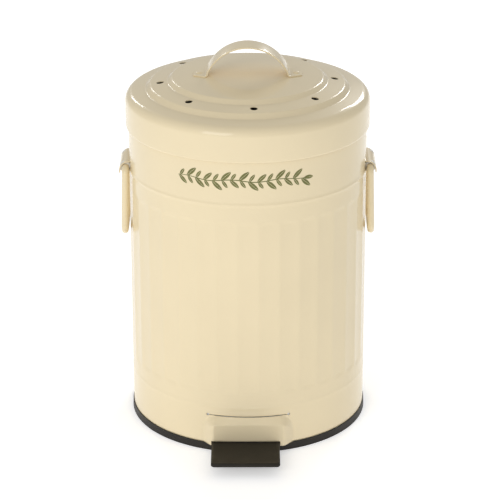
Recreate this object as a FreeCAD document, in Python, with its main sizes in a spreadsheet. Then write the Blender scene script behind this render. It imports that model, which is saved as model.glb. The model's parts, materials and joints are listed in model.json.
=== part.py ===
import FreeCAD, Part
import math
import os
import re

import Sketcher
from FreeCAD import Placement, Rotation, Vector

# Pedal compost bin: a round steel bin on a plastic foot ring, with a hinged, stepped lid that a foot
# lever lifts through a push rod inside the rear wall, two drop handles and a lift-out bucket.
# Frame: origin on the floor at the bin's axis, +Z up, the pedal towards -Y. Millimetres and degrees.

SIZES = [
    # the wall
    ("body_radius", 101.5, "outside of the wall"),
    ("sheet", 0.8, "sheet steel of the wall, the lid and the floor plate"),
    ("rim_top", 285.0, "top edge of the wall"),
    ("hem", 2.4, "rolled hem at the rim"),
    ("bead_height", 0.5, "how far a bead stands proud"),
    ("bead_width", 4.0, "bead, from foot to foot"),
    ("low_bead", "=floor_level + sheet", "height of the bead at the floor plate"),
    ("band_high", 60.0, "plain band, from the high bead to the rim"),
    ("high_bead", "=rim_top - band_high", "height of the bead under the plain band"),
    ("flute_foot", 11.0, "plain wall over the low bead"),
    ("flute_head", 14.0, "plain wall under the high bead"),
    ("flute_low", "=low_bead + flute_foot", "lower end of the flutes"),
    ("flute_high", "=high_bead - flute_head", "upper end of the flutes"),
    ("flute_depth", 0.7, "depth of a flute"),
    ("flute_radius", 83.0, "radius of a flute's hollow"),
    ("flute_count", 36, "flutes round the wall"),
    # the pressing over the pedal
    ("slit_drop", 7.2, "slit, under the floor plate"),
    ("slit_level", "=floor_level - slit_drop", "height of the slit"),
    ("slit_half", 34.5, "half the slit's length"),
    ("slit_gap", 0.8, "width of the slit"),
    ("slit_hole", 1.1, "radius of the holes that end the slit"),
    ("ledge_drop", 6.5, "fall of the ledge from the slit to the fold"),
    ("fold_level", "=slit_level - ledge_drop", "height of the fold under the slit"),
    ("pressing_depth", 5.0, "how far the fold stands out"),
    ("pressing_end", 4.0, "rounding at the ends of the pressing"),
    ("doorway_over", 1.85, "room between the lever and the cut-out"),
    ("doorway_top", "=pivot_z + axle_radius + lever_over_axle + lever_thick + doorway_over", "top of the cut-out for the pedal"),
    ("doorway_side", 0.3, "room beside the pad"),
    ("doorway_half", "=pad_half + doorway_side", "half its width"),
    # the foot ring
    ("ring_step", 1.0, "how far the ring stands out from the wall"),
    ("ring_radius", "=body_radius + ring_step", "outside of the foot ring"),
    ("ring_exposed", 6.6, "height of the ring that shows under the wall"),
    ("ring_draft", 0.3, "how much narrower the ring is at its top"),
    ("ring_fit", 0.2, "gap between the ring's collar and the wall"),
    ("collar_top", 15.0, "top of the collar inside the wall"),
    ("collar_wall", 2.2, "its thickness"),
    ("foot_width", 18.5, "width of the flat foot"),
    ("foot_inner", "=ring_radius - foot_width", "inner radius of the flat foot"),
    ("foot_thick", 2.0, "its thickness"),
    ("notch_floor", 5.0, "lowest place of the notch under the pedal"),
    ("post_inset", 13.5, "posts, in from the ring's outside"),
    ("post_circle", "=ring_radius - post_inset", "radius of the circle of the four posts"),
    ("post_radius", 4.5, "radius of a post"),
    ("screw_radius", 1.5, "shank of the screws"),
    ("screw_head", 3.0, "radius of their heads"),
    ("screw_length", 12.0, "length of the shank"),
    ("screw_head_high", 1.8, "height of their heads"),
    # the floor plate
    ("floor_level", 40.2, "underside of the floor plate"),
    ("floor_fit", 0.1, "gap to the wall"),
    ("floor_flange", 8.0, "height of its turned-down flange"),
    # the pedal
    ("pivot_inset", 13.5, "pedal axle, in from the wall"),
    ("pivot_y", "=body_radius - pivot_inset", "pedal axle, forward of the bin's axis"),
    ("pivot_z", 4.5, "height of the pedal axle"),
    ("axle_radius", 2.0, "pedal axle"),
    ("run_fit", 0.05, "radial clearance of pins that turn"),
    ("lever_thick", 2.0, "steel of the lever"),
    ("lever_over_axle", 0.45, "gap between the axle and the lever's blade"),
    ("pad_tilt", 2.7, "upward slope of the pad"),
    ("pad_out", 47.0, "tip of the pad, out from the wall"),
    ("pad_reach", "=body_radius + pad_out", "tip of the pad, forward of the bin's axis"),
    ("pad_half", 29.0, "half the pad's width"),
    ("pad_shift", -2.4, "middle of the pad, to the side of the bin's axis"),
    ("pad_skin", 0.8, "rubber over the blade"),
    ("pad_side", 3.0, "rubber beside the blade"),
    ("pad_gap", 1.8, "gap between the pad and the foot ring"),
    ("pad_corner", 3.0, "rounding of the pad's front corners"),
    ("beam_half", 12.0, "half the lever's width behind the pivot"),
    ("beam_flange", 3.0, "height of the lever's stiffening flanges"),
    ("lug_gap", 3.5, "gap between the lever's cheeks and the lugs"),
    ("lug_inner", "=beam_half + lever_thick + lug_gap", "inner face of the axle lugs"),
    ("lug_thick", 6.0, "their thickness"),
    ("lug_half", 5.0, "half their length"),
    ("clip_radius", 4.0, "push-on clips of the axle"),
    ("clip_thick", 1.0, "their thickness"),
    # the push rod
    ("rod_inset", 6.5, "push rod, in from the wall"),
    ("rod_y", "=body_radius - rod_inset", "push rod, behind the bin's axis"),
    ("rod_radius", 2.0, "push rod"),
    ("rod_bottom", 2.6, "lower end of the rod"),
    ("rod_slack", 1.0, "gap between the lever and the rod's foot"),
    ("foot_radius", 4.0, "nylon foot on the rod"),
    ("foot_high", 4.0, "its height"),
    ("head_half", 4.2, "half the width of the rod's fork"),
    ("head_depth", 3.2, "half its depth"),
    ("head_above", 4.0, "fork above its pin"),
    ("head_below", 14.0, "fork below its pin"),
    ("fork_floor", 9.5, "bottom of the fork's slot below its pin"),
    ("rod_pin_radius", 1.5, "pin through the fork"),
    ("guide_drop", 7.0, "guide, under the bracket"),
    ("guide_low", "=plate_low - guide_drop", "bottom of the upper rod guide"),
    ("guide_high", 12.0, "height of its eye"),
    # the lid hinge
    ("hinge_out", 8.0, "hinge pin, out from the wall"),
    ("hinge_drop", 25.0, "hinge pin, under the rim"),
    ("hinge_y", "=body_radius + hinge_out", "hinge pin, behind the bin's axis"),
    ("hinge_z", "=rim_top - hinge_drop", "height of the hinge pin"),
    ("hinge_radius", 2.0, "hinge pin"),
    ("hinge_boss", 4.5, "rounding of the ears round the pin"),
    ("lid_swing", 74.0, "how far the lid opens"),
    ("crank_half", 1.25, "half the thickness of the crank"),
    ("crank_high", 4.6, "half its height"),
    ("crank_slack", 0.8, "play of the pin in the crank's slot"),
    ("ear_inner", 13.0, "inner face of the hinge bracket's ears"),
    ("ear_thick", 1.5, "steel of the hinge bracket and the lid's arm"),
    ("cheek_gap", 1.0, "gap between ears and cheeks"),
    ("plate_gap", 2.6, "hinge bracket over the high bead"),
    ("plate_low", "=high_bead + plate_gap", "lower edge of the hinge bracket"),
    ("plate_drop", 14.0, "bracket's plate, under the hinge pin"),
    ("plate_high", "=hinge_z - plate_drop", "upper edge of its plate"),
    ("rivet_radius", 1.5, "shank of the rivets"),
    ("rivet_head", 2.7, "radius of their heads"),
    ("rivet_dome", 1.2, "height of their heads"),
    ("rivet_side", 9.9, "rivets in the wall, to each side of the middle"),
    ("rivet_turn", "=asin(rivet_side / body_radius) / 1 deg", "the same, as an angle"),
    ("arm_rivet_side", 6.9, "rivets in the lid's skirt, to each side of the middle"),
    ("arm_rivet_turn", "=asin(arm_rivet_side / lid_radius) / 1 deg", "the same, as an angle"),
    # the lid
    ("lid_gap", 1.6, "gap between the wall and the lid's skirt"),
    ("lid_radius", "=body_radius + lid_gap + sheet", "outside of the lid's skirt"),
    ("skirt_lap", 22.2, "how far the skirt laps over the wall"),
    ("skirt_low", "=rim_top - skirt_lap", "lower edge of the skirt"),
    ("lid_rise", 6.6, "top edge of the lid over the wall"),
    ("lid_edge", "=rim_top + lid_rise", "where the skirt meets the lid's top"),
    ("lid_shoulder", 8.0, "rounding between them"),
    ("ledge_out", 19.4, "outer step, in from the skirt"),
    ("ledge_in", 18.5, "inner step, in from the outer"),
    ("outer_step", "=lid_radius - ledge_out", "radius of the outer step"),
    ("inner_step", "=outer_step - ledge_in", "radius of the inner step"),
    ("step_run", 4.0, "width of a step's slope"),
    ("step_round", 2.4, "rounding of a step"),
    ("rise_one", 3.0, "rise of the outer ledge"),
    ("step_one", 4.0, "rise of the outer step"),
    ("rise_two", 2.2, "rise of the inner ledge"),
    ("step_two", 3.4, "rise of the inner step"),
    ("rise_three", 3.1, "rise of the middle"),
    ("tier_one", "=lid_edge + rise_one", "foot of the outer step"),
    ("tier_two", "=tier_one + step_one", "top of the outer step"),
    ("tier_three", "=tier_two + rise_two", "foot of the inner step"),
    ("tier_four", "=tier_three + step_two", "top of the inner step"),
    ("lid_crown", "=tier_four + rise_three", "middle of the lid"),
    ("vent_out", 8.0, "vent holes, out from the inner step"),
    ("vent_circle", "=inner_step + vent_out", "radius of the circle of vent holes"),
    ("vent_radius", 2.9, "vent holes"),
    ("vent_turn", 4.0, "first vent hole, turned from the front"),
    ("vent_count", 8, "vent holes"),
    # the lid handle
    ("strap_half", 10.0, "half the strap's width"),
    ("strap_thick", 1.3, "its thickness"),
    ("arch_span", 34.0, "half the inner span of the arch"),
    ("arch_rise", 25.2, "handle over the middle of the lid"),
    ("arch_top", "=lid_crown + arch_rise", "top of the handle"),
    ("foot_long", 12.0, "length of a foot"),
    ("rivet_back", 5.0, "rivets, in from the tip of a foot"),
    ("strap_foot", "=arch_span + foot_long", "tip of a foot from the middle"),
    ("strap_rivet", "=strap_foot - rivet_back", "rivets from the middle"),
    # the filter
    ("filter_room", 4.5, "filter, in from the outer step"),
    ("filter_radius", "=outer_step - filter_room", "charcoal filter"),
    ("filter_drop", 7.6, "underside of the filter, under the outer step"),
    ("filter_low", "=tier_one - filter_drop", "its underside"),
    ("filter_thick", 6.0, "its thickness"),
    ("grid_lip", 1.5, "grid beyond the filter"),
    ("grid_radius", "=filter_radius + grid_lip", "grid under the filter"),
    ("grid_thick", 3.0, "its thickness"),
    ("grid_band", 6.0, "width of its ring and bars"),
    ("grid_bars", 6, "half bars of the grid"),
    ("hook_steel", 1.0, "steel of the filter hooks"),
    ("hook_half", 5.0, "half their width"),
    ("hook_lip", 5.0, "how far they reach under the grid"),
    ("hook_weld", 0.3, "how far they sink into the lid's weld"),
    # the drop handles
    ("hood_rise", 8.4, "hood over the high bead"),
    ("hood_top", "=high_bead + hood_rise", "top of the hood over a drop handle"),
    ("bush_wall", 1.8, "wall of the bushes"),
    ("hood_radius", "=loop_radius + run_fit + bush_wall + hood_steel", "outside of the hood's tube"),
    ("hood_wrap", 60.0, "how far the hood's tube reaches under the pivot, as an angle"),
    ("hood_end", 0.45, "gap between the hood and the handle's legs"),
    ("hood_half", "=loop_half - loop_radius - hood_end", "half its length"),
    ("hood_steel", 0.8, "its steel"),
    ("bar_sink", 0.35, "how far the handle's rod reaches back past the wall's front line"),
    ("bar_out", "=loop_radius - bar_sink", "drop handle's pivot, out from the wall"),
    ("loop_radius", 2.95, "rod of the drop handle"),
    ("loop_half", 21.0, "half its width, between rod centres"),
    ("loop_drop", 58.0, "its height, between rod centres"),
    ("loop_top_bend", 4.2, "its upper bends"),
    ("loop_low_bend", 8.0, "its lower bends"),
    ("loop_lean", 1.4, "how far it leans out at rest"),
    ("stub_play", 1.0, "gap between a bush and the bend beside it"),
    ("stub_end", "=loop_half - loop_top_bend - bush_long - stub_play", "inner ends of the rod, from the handle's middle"),
    ("bush_long", 3.8, "length of the bushes that carry the rod's ends"),
    # the bucket
    ("bucket_gap", 0.1, "gap between the bucket and the floor plate"),
    ("bucket_low", "=floor_level + sheet + bucket_gap", "underside of the bucket"),
    ("bucket_drop", 35.0, "bucket, under the rim"),
    ("bucket_top", "=rim_top - bucket_drop", "top of the bucket"),
    ("bucket_taper", 5.2, "how much narrower the bucket is at its foot"),
    ("bucket_foot", "=bucket_mouth - bucket_taper", "outside radius at its foot"),
    ("bucket_lip", 2.3, "how far the rim stands out"),
    ("bucket_mouth", "=bucket_rim - bucket_lip", "outside radius under its rim"),
    ("bucket_space", 16.0, "room between the rim and the bin's wall"),
    ("bucket_rim", "=body_radius - bucket_space", "outside radius of its rim"),
    ("bucket_wall", 1.8, "its wall"),
    ("bucket_rim_high", 6.0, "height of its rim"),
    ("bail_drop", 10.0, "bail's pivots, under the top"),
    ("bail_level", "=bucket_top - bail_drop", "pivots of the bail"),
    ("bail_room", 5.1, "bail, out from the rim"),
    ("bail_bend", "=bucket_rim + bail_room", "radius of the bail"),
    ("bail_wire", 1.5, "radius of its wire"),
    ("bail_inside", 0.4, "ends of the wire inside the bucket"),
    ("bail_end", "=bucket_mouth - bucket_wall - bail_inside", "inner ends of the wire"),
    ("bail_boss", 4.5, "radius of the bucket's bail bosses"),
    ("boss_out", 1.5, "bosses beyond the rim"),
    ("bail_boss_end", "=bucket_rim + boss_out", "outer face of the bosses"),
    ("grip_radius", 4.0, "grip on the bail"),
    ("grip_turn", 20.0, "half the angle that the grip covers"),
]

doc = FreeCAD.newDocument("compost_bin")
sizes = doc.addObject("Spreadsheet::Sheet", "Sizes")
NODES = []

# Lengths that several pieces share, as expressions of the sheet.
WALL_IN = "(body_radius - sheet)"
BLADE_LOW = "(pivot_z + axle_radius + lever_over_axle)"
BLADE_TOP = f"({BLADE_LOW} + lever_thick)"
PAD_RISE = "tan(pad_tilt * 1 deg)"
HALF_SWING = "(lid_swing / 2 * 1 deg)"
CRANK_ARM = "(hinge_y - rod_y)"
PIN_Z = f"(hinge_z - {CRANK_ARM} * tan{HALF_SWING})"
CRANK_SLOT = "(rod_pin_radius + crank_slack)"
CRANK_FAR = f"({CRANK_ARM} / cos{HALF_SWING} + 0.4)"
CRANK_NEAR = f"({CRANK_ARM} - 0.4)"
CRANK_REACH = f"({CRANK_FAR} + {CRANK_SLOT} + 2)"
WALL_RIVETS = ("(plate_low + 5)", "(plate_high - 5)")
ARM_RIVETS = ("(skirt_low + 6)", "(skirt_low + 14)")
CHEEK_OUT = "(ear_inner - cheek_gap)"
CHEEK_IN = "(ear_inner - cheek_gap - ear_thick)"
FOOT_Z = f"({BLADE_TOP} + rod_slack)"
ARCH_IN = "((arch_span ^ 2 + (arch_top - strap_thick - lid_crown) ^ 2) / (2 * (arch_top - strap_thick - lid_crown)))"
LID_SLOPE = "((lid_crown - tier_four) / (inner_step - step_run / 2))"
BAR_X = "(body_radius + bar_out)"
BAR_Z = "(hood_top - hood_radius)"


def fill_sheet():
    for row, (alias, _, words) in enumerate(SIZES, start=1):
        sizes.set(f"A{row}", words)
        sizes.setAlias(f"B{row}", alias)
    for row, (_, value, _) in enumerate(SIZES, start=1):
        sizes.set(f"B{row}", str(value))
    doc.recompute()


def bound(text):
    """The expression with every alias written as a reference to the sheet."""
    names = "|".join(alias for alias, _, _ in SIZES)
    return re.sub(rf"\b({names})\b", r"Sizes.\1", str(text))


def number(text):
    return float(sizes.evalExpression(bound(text)))


def node(piece, name):
    """Marks an object as a sub-part, whose label names its file."""
    piece.Label = name
    NODES.append(piece)
    return piece


# --- Part primitives bound to the sheet ---


def bind(piece, **properties):
    for key, text in properties.items():
        piece.setExpression(key, bound(text))
    return piece


def place(piece, at=("0", "0", "0"), turn=Rotation()):
    piece.Placement = Placement(Vector(*[number(text) for text in at]), turn)
    for axis, text in zip("xyz", at):
        piece.setExpression(f"Placement.Base.{axis}", bound(text))
    return piece


ALONG = {
    "X": Rotation(Vector(0, 1, 0), 90),
    "Y": Rotation(Vector(1, 0, 0), -90),
    "Z": Rotation(),
}


def rod(radius, length, at, along="Z", turn=None):
    """A cylinder from the point at, towards the plus side of its axis."""
    piece = doc.addObject("Part::Cylinder", "rod")
    bind(piece, Radius=radius, Height=length)
    return place(piece, at, turn or ALONG[along])


def block(low, high):
    """A box between two corners."""
    piece = doc.addObject("Part::Box", "block")
    spans = [f"({b}) - ({a})" for a, b in zip(low, high)]
    bind(piece, Length=spans[0], Width=spans[1], Height=spans[2])
    return place(piece, low)


def frustum(low_radius, high_radius, height, at, turn=Rotation()):
    piece = doc.addObject("Part::Cone", "frustum")
    bind(piece, Radius1=low_radius, Radius2=high_radius, Height=height)
    return place(piece, at, turn)


def joined(pieces, name="joined"):
    whole = doc.addObject("Part::MultiFuse", name)
    whole.Shapes = pieces
    return whole


def grouped(pieces, name="group"):
    whole = doc.addObject("Part::Compound", name)
    whole.Links = pieces
    return whole


def less(base, tool, name="cut"):
    whole = doc.addObject("Part::Cut", name)
    whole.Base = base
    whole.Tool = tool
    return whole


# --- PartDesign bodies bound to the sheet ---


def new_body(name):
    body = doc.addObject("PartDesign::Body", name)
    body.AllowCompound = True
    return node(body, name)


def new_sketch(body, plane, level="0"):
    """A sketch on one of the body's origin planes, moved along its normal."""
    sketch = body.newObject("Sketcher::SketchObject", "outline")
    face = next(item for item in body.Origin.OriginFeatures if item.Role == plane)
    sketch.AttachmentSupport = [(face, "")]
    sketch.MapMode = "FlatFace"
    sketch.setExpression("AttachmentOffset.Base.z", bound(level))
    return sketch


def pin_point(sketch, geometry, end, x, y):
    """Holds a point of the sketch at the two expressions."""
    for kind, text in (("DistanceX", x), ("DistanceY", y)):
        index = sketch.addConstraint(Sketcher.Constraint(kind, -1, 1, geometry, end, number(text)))
        sketch.setExpression(f"Constraints[{index}]", bound(text))


def add_polygon(sketch, corners):
    points = [Vector(number(x), number(y), 0) for x, y in corners]
    first = sketch.GeometryCount
    count = len(points)
    for i in range(count):
        sketch.addGeometry(Part.LineSegment(points[i], points[(i + 1) % count]))
    for i in range(count):
        sketch.addConstraint(Sketcher.Constraint("Coincident", first + i, 2, first + (i + 1) % count, 1))
    for i, (x, y) in enumerate(corners):
        pin_point(sketch, first + i, 1, x, y)


def add_circle(sketch, x, y, radius):
    centre = Vector(number(x), number(y), 0)
    circle = sketch.addGeometry(Part.Circle(centre, Vector(0, 0, 1), number(radius)))
    pin_point(sketch, circle, 3, x, y)
    index = sketch.addConstraint(Sketcher.Constraint("Radius", circle, number(radius)))
    sketch.setExpression(f"Constraints[{index}]", bound(radius))


def feature(body, kind, sketch, **properties):
    """Adds a feature and checks that it really adds or removes material."""
    before = body.Shape.Volume if body.Tip else 0.0
    piece = body.newObject(f"PartDesign::{kind}", kind)
    piece.Profile = sketch
    for key, text in properties.items():
        if isinstance(text, str) and key in ("Length", "Angle"):
            piece.setExpression(key, bound(text))
        else:
            setattr(piece, key, text)
    doc.recompute()
    change = body.Shape.Volume - before
    removes = kind in ("Pocket", "Groove")
    if abs(change) < 1e-6 or (change < 0) != removes:
        raise RuntimeError(f"{body.Label}: {kind} changed the volume by {change:.3f}")
    return piece


def revolve(body, corners):
    sketch = new_sketch(body, "XZ_Plane")
    add_polygon(sketch, corners)
    return feature(body, "Revolution", sketch, ReferenceAxis=(sketch, ["V_Axis"]), Angle="360")


def slab(body, plane, corners, length, level="0", kind="Pad", centred=True, flip=False):
    """A polygon pushed along its plane's normal, added or removed."""
    sketch = new_sketch(body, plane, level)
    add_polygon(sketch, corners)
    return feature(body, kind, sketch, Length=length, Midplane=centred, Reversed=flip)


def disc(body, plane, x, y, radius, length, level="0", kind="Pad", centred=True, flip=False):
    sketch = new_sketch(body, plane, level)
    add_circle(sketch, x, y, radius)
    return feature(body, kind, sketch, Length=length, Midplane=centred, Reversed=flip)


def around(body, piece, count):
    """Repeats a feature round the bin's axis."""
    pattern = body.newObject("PartDesign::PolarPattern", "around")
    pattern.Originals = [piece]
    pattern.Axis = (piece.Profile[0], ["N_Axis"])
    pattern.Angle = 360
    pattern.setExpression("Occurrences", bound(count))
    body.Tip = pattern
    doc.recompute()
    return pattern


def rounded(body, radius, choose):
    """Fillets the edges that choose() picks."""
    base = body.Tip
    names = [f"Edge{i}" for i, edge in enumerate(base.Shape.Edges, start=1) if choose(edge)]
    if not names:
        raise RuntimeError(f"{body.Label}: no edge to round")
    fillet = body.newObject("PartDesign::Fillet", "fillet")
    fillet.Base = (base, names)
    fillet.setExpression("Radius", bound(radius))
    doc.recompute()
    return fillet


def ring_edge(radius, height):
    """Picks the full circle round the axis with this radius and height."""
    r, z = number(radius), number(height)

    def choose(edge):
        curve = edge.Curve
        return (
            isinstance(curve, Part.Circle)
            and abs(curve.Radius - r) < 0.01
            and abs(curve.Center.z - z) < 0.01
        )

    return choose


# --- the wall ---


def make_body_shell():
    body = new_body("body_shell")
    outside = [("body_radius", "ring_exposed")]
    for bead in ("low_bead", "high_bead"):
        outside += [
            ("body_radius", f"{bead} - bead_width / 2"),
            ("body_radius + bead_height", f"{bead} - bead_width / 5"),
            ("body_radius + bead_height", f"{bead} + bead_width / 5"),
            ("body_radius", f"{bead} + bead_width / 2"),
        ]
    inside = [
        ("body_radius", "rim_top"),
        ("body_radius - hem", "rim_top"),
        ("body_radius - hem", "rim_top - hem"),
        (WALL_IN, "rim_top - hem"),
        (WALL_IN, "flute_high + 1"),
        (f"{WALL_IN} - flute_depth", "flute_high"),
        (f"{WALL_IN} - flute_depth", "flute_low"),
        (WALL_IN, "flute_low - 1"),
        (WALL_IN, "ring_exposed"),
    ]
    revolve(body, outside + inside)
    flute = disc(
        body, "XY_Plane", "0", "flute_radius + body_radius - flute_depth", "flute_radius",
        "flute_high - flute_low", "flute_low", "Pocket", centred=False, flip=True,
    )
    around(body, flute, "flute_count")
    make_pressing(body)
    wall_far = "body_radius + pressing_depth + 1"
    slab(
        body, "XZ_Plane",
        [("pad_shift - doorway_half", "0"), ("pad_shift + doorway_half", "0"),
         ("pad_shift + doorway_half", "doorway_top"), ("pad_shift - doorway_half", "doorway_top")],
        wall_far, kind="Pocket", centred=False, flip=True,
    )
    slot_half = f"({CRANK_ARM} * 0.6 * tan{HALF_SWING} + crank_high / cos{HALF_SWING} + 0.9)"
    slab(
        body, "XZ_Plane",
        [("-3", f"hinge_z - {slot_half}"), ("3", f"hinge_z - {slot_half}"),
         ("3", f"hinge_z + {slot_half}"), ("-3", f"hinge_z + {slot_half}")],
        wall_far, kind="Pocket", centred=False, flip=False,
    )
    for side in ("-", ""):
        for level in WALL_RIVETS:
            radial_hole(body, side, level)


def make_pressing(body):
    """The lanced pressing: a ledge under the slit, a straight fold, a face that runs back to the wall."""
    near = "-(body_radius - 8)"
    lip = "slit_level - slit_gap / 2"
    slab(
        body, "YZ_Plane",
        [(near, lip), ("-(body_radius + sheet)", lip), ("-(body_radius + pressing_depth)", "fold_level"),
         ("-(body_radius + sheet / 2)", "doorway_top - 1"), (near, "doorway_top - 1")],
        "2 * (slit_half + 0.5)",
    )
    fold = number("-(body_radius + pressing_depth)")
    half = number("slit_half + 0.5")

    def front_corner(edge):
        ends = [vertex.Point for vertex in edge.Vertexes]
        beside = all(abs(abs(point.x) - half) < 0.01 for point in ends)
        return beside and any(abs(point.y - fold) < 0.01 for point in ends) and len(ends) == 2

    rounded(body, "pressing_end", front_corner)
    deep = "-(body_radius - 14)"
    slab(
        body, "YZ_Plane",
        [(deep, "slit_level + slit_gap / 2"), ("-(body_radius + 0.2)", "slit_level + slit_gap / 2"),
         ("-(body_radius + 0.2)", lip), ("-(body_radius + pressing_depth - sheet)", "fold_level"),
         ("-(body_radius - sheet / 2)", "doorway_top - 1.5"), (deep, "doorway_top - 1.5")],
        "2 * (slit_half - pressing_end / 2)", kind="Pocket",
    )
    disc(body, "XY_Plane", "0", "0", f"{WALL_IN} - ring_fit / 2", "2 * slit_level", kind="Pocket")
    for side in ("-", ""):
        disc(
            body, "XZ_Plane", f"{side}(slit_half + 0.2)", "slit_level", "slit_hole",
            "body_radius + 9", kind="Pocket", centred=False, flip=True,
        )


# --- the foot ring and the floor plate ---


def make_base_ring():
    body = new_body("base_ring")
    collar = f"({WALL_IN} - ring_fit)"
    revolve(
        body,
        [("foot_inner", "0"), ("ring_radius", "0"), ("ring_radius - ring_draft", "ring_exposed"),
         (collar, "ring_exposed"), (collar, "collar_top"), (f"{collar} - collar_wall", "collar_top"),
         (f"{collar} - collar_wall", "foot_thick"), ("foot_inner", "foot_thick")],
    )
    post = disc(
        body, "XY_Plane", "post_circle / sqrt(2)", "post_circle / sqrt(2)", "post_radius",
        "floor_level - foot_thick / 2", "foot_thick / 2", centred=False,
    )
    around(body, post, "4")
    lug_far = "lug_inner + lug_thick"
    for near, far in (("lug_inner", lug_far), (f"-({lug_far})", "-lug_inner")):
        slab(
            body, "XY_Plane",
            [(near, "-(pivot_y + lug_half)"), (far, "-(pivot_y + lug_half)"),
             (far, "-(pivot_y - lug_half)"), (near, "-(pivot_y - lug_half)")],
            f"pivot_z + axle_radius + 1.6 - foot_thick / 2", "foot_thick / 2", centred=False,
        )
    disc(body, "YZ_Plane", "-pivot_y", "pivot_z", "axle_radius + run_fit", "4 * lug_inner", kind="Pocket")
    clip_far = f"({lug_far} + 2 * clip_thick + 2.4)"
    for near, far in ((lug_far, clip_far), (f"-{clip_far}", f"-({lug_far})")):
        slab(
            body, "XY_Plane",
            [(near, "-(pivot_y + clip_radius + 0.5)"), (far, "-(pivot_y + clip_radius + 0.5)"),
             (far, "-(pivot_y - clip_radius - 0.5)"), (near, "-(pivot_y - clip_radius - 0.5)")],
            "4 * foot_thick", kind="Pocket",
        )
    front = "-(ring_radius + 2)"
    slab(
        body, "YZ_Plane",
        [(front, "notch_floor"), ("-(pivot_y + lug_half + 0.5)", "notch_floor"),
         ("-(pivot_y + lug_half + 0.5)", "collar_top + 1"), (front, "collar_top + 1")],
        "2 * (pad_half - 0.5)", "pad_shift", "Pocket",
    )
    slab(
        body, "XY_Plane",
        [("-(lug_inner - 1)", "-(foot_inner - 8)"), ("lug_inner - 1", "-(foot_inner - 8)"),
         ("lug_inner - 1", f"-({collar} - collar_wall - 1.5)"),
         ("-(lug_inner - 1)", f"-({collar} - collar_wall - 1.5)")],
        "4 * foot_thick", kind="Pocket",
    )
    slab(
        body, "XY_Plane",
        [("-(beam_half + 2)", "foot_inner + 4"), ("beam_half + 2", "foot_inner + 4"),
         ("beam_half + 2", collar), ("-(beam_half + 2)", collar)],
        "collar_top", "foot_thick", kind="Pocket", centred=False, flip=True,
    )
    pilot = disc(
        body, "XY_Plane", "post_circle / sqrt(2)", "post_circle / sqrt(2)", "screw_radius",
        "screw_length + 1", "floor_level", kind="Pocket", centred=False,
    )
    around(body, pilot, "4")


def make_floor_plate():
    body = new_body("floor_plate")
    edge = f"({WALL_IN} - floor_fit)"
    revolve(
        body,
        [("0", "floor_level"), (f"{edge} - sheet", "floor_level"),
         (f"{edge} - sheet", "floor_level - floor_flange"), (edge, "floor_level - floor_flange"),
         (edge, "floor_level + sheet"), ("0", "floor_level + sheet")],
    )
    hole = disc(
        body, "XY_Plane", "post_circle / sqrt(2)", "post_circle / sqrt(2)", "screw_radius + 0.2",
        "4 * sheet", "floor_level", kind="Pocket",
    )
    around(body, hole, "4")
    disc(body, "XY_Plane", "0", "rod_y", "foot_radius", "4 * sheet", "floor_level", kind="Pocket")


def make_base_screws():
    body = new_body("base_screws")
    at = ("post_circle / sqrt(2)", "post_circle / sqrt(2)")
    shank = disc(body, "XY_Plane", *at, "screw_radius", "screw_length", "floor_level + sheet",
                 centred=False, flip=True)
    head = disc(body, "XY_Plane", *at, "screw_head", "screw_head_high", "floor_level + sheet", centred=False)
    socket = disc(body, "XY_Plane", *at, "screw_radius * 0.7", "screw_head_high / 2",
                  "floor_level + sheet + screw_head_high", kind="Pocket", centred=False)
    pattern = around(body, shank, "4")
    pattern.Originals = [shank, head, socket]
    doc.recompute()


# --- the pedal ---


def blade_line(y_forward, lift="0"):
    """A point of the blade's underside, which slopes up forward of the axle."""
    return f"-({y_forward})", f"{BLADE_LOW} + (({y_forward}) - pivot_y) * {PAD_RISE} + {lift}"


def make_pedal_lever():
    body = new_body("pedal_lever")
    neck = "pivot_y + lug_half + 2"
    tip = "pad_reach - pad_skin"
    slab(
        body, "YZ_Plane",
        [blade_line(neck), blade_line(tip), blade_line(tip, "lever_thick"), blade_line(neck, "lever_thick")],
        "2 * (pad_half - pad_side)", "pad_shift",
    )
    rear = "rod_y + foot_radius + 0.4"
    flange_low = f"{BLADE_LOW} - beam_flange"
    slab(
        body, "YZ_Plane",
        [blade_line(f"{neck} + 1"), ("-pivot_y", BLADE_LOW), (rear, BLADE_LOW), (rear, BLADE_TOP),
         ("-pivot_y", BLADE_TOP), blade_line(f"{neck} + 1", "lever_thick")],
        "2 * beam_half",
    )
    slab(
        body, "YZ_Plane",
        [("-(pivot_y - lug_half)", flange_low), ("rod_y - 2.5 * foot_radius", flange_low),
         ("rod_y - 2.5 * foot_radius", BLADE_TOP), ("-(pivot_y - lug_half)", BLADE_TOP)],
        "2 * beam_half",
    )
    slab(
        body, "YZ_Plane",
        [("-(pivot_y - lug_half - 2)", flange_low), ("rod_y - 2.5 * foot_radius + 1", flange_low),
         ("rod_y - 2.5 * foot_radius + 1", BLADE_LOW), ("-(pivot_y - lug_half - 2)", BLADE_LOW)],
        "2 * (beam_half - lever_thick)", kind="Pocket",
    )
    for side in ("-", ""):
        disc(
            body, "YZ_Plane", "-pivot_y", "pivot_z", "axle_radius + 1.6", "lever_thick",
            f"{side}(beam_half + lever_thick / 2)",
        )
        slab(
            body, "YZ_Plane",
            [("-(pivot_y + axle_radius + 1.6)", "pivot_z"), ("-(pivot_y - axle_radius - 1.6)", "pivot_z"),
             ("-(pivot_y - axle_radius - 1.6)", BLADE_TOP), ("-(pivot_y + axle_radius + 1.6)", BLADE_TOP)],
            "lever_thick", f"{side}(beam_half + lever_thick / 2)",
        )
    disc(body, "YZ_Plane", "-pivot_y", "pivot_z", "axle_radius + run_fit", "4 * beam_half", kind="Pocket")
    hole = "rod_radius + 0.6"
    slab(
        body, "XY_Plane",
        [(f"-({hole})", f"rod_y - ({hole})"), (hole, f"rod_y - ({hole})"),
         (hole, f"{rear} + 1"), (f"-({hole})", f"{rear} + 1")],
        "4 * pivot_z", f"{BLADE_LOW}", kind="Pocket",
    )


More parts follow.
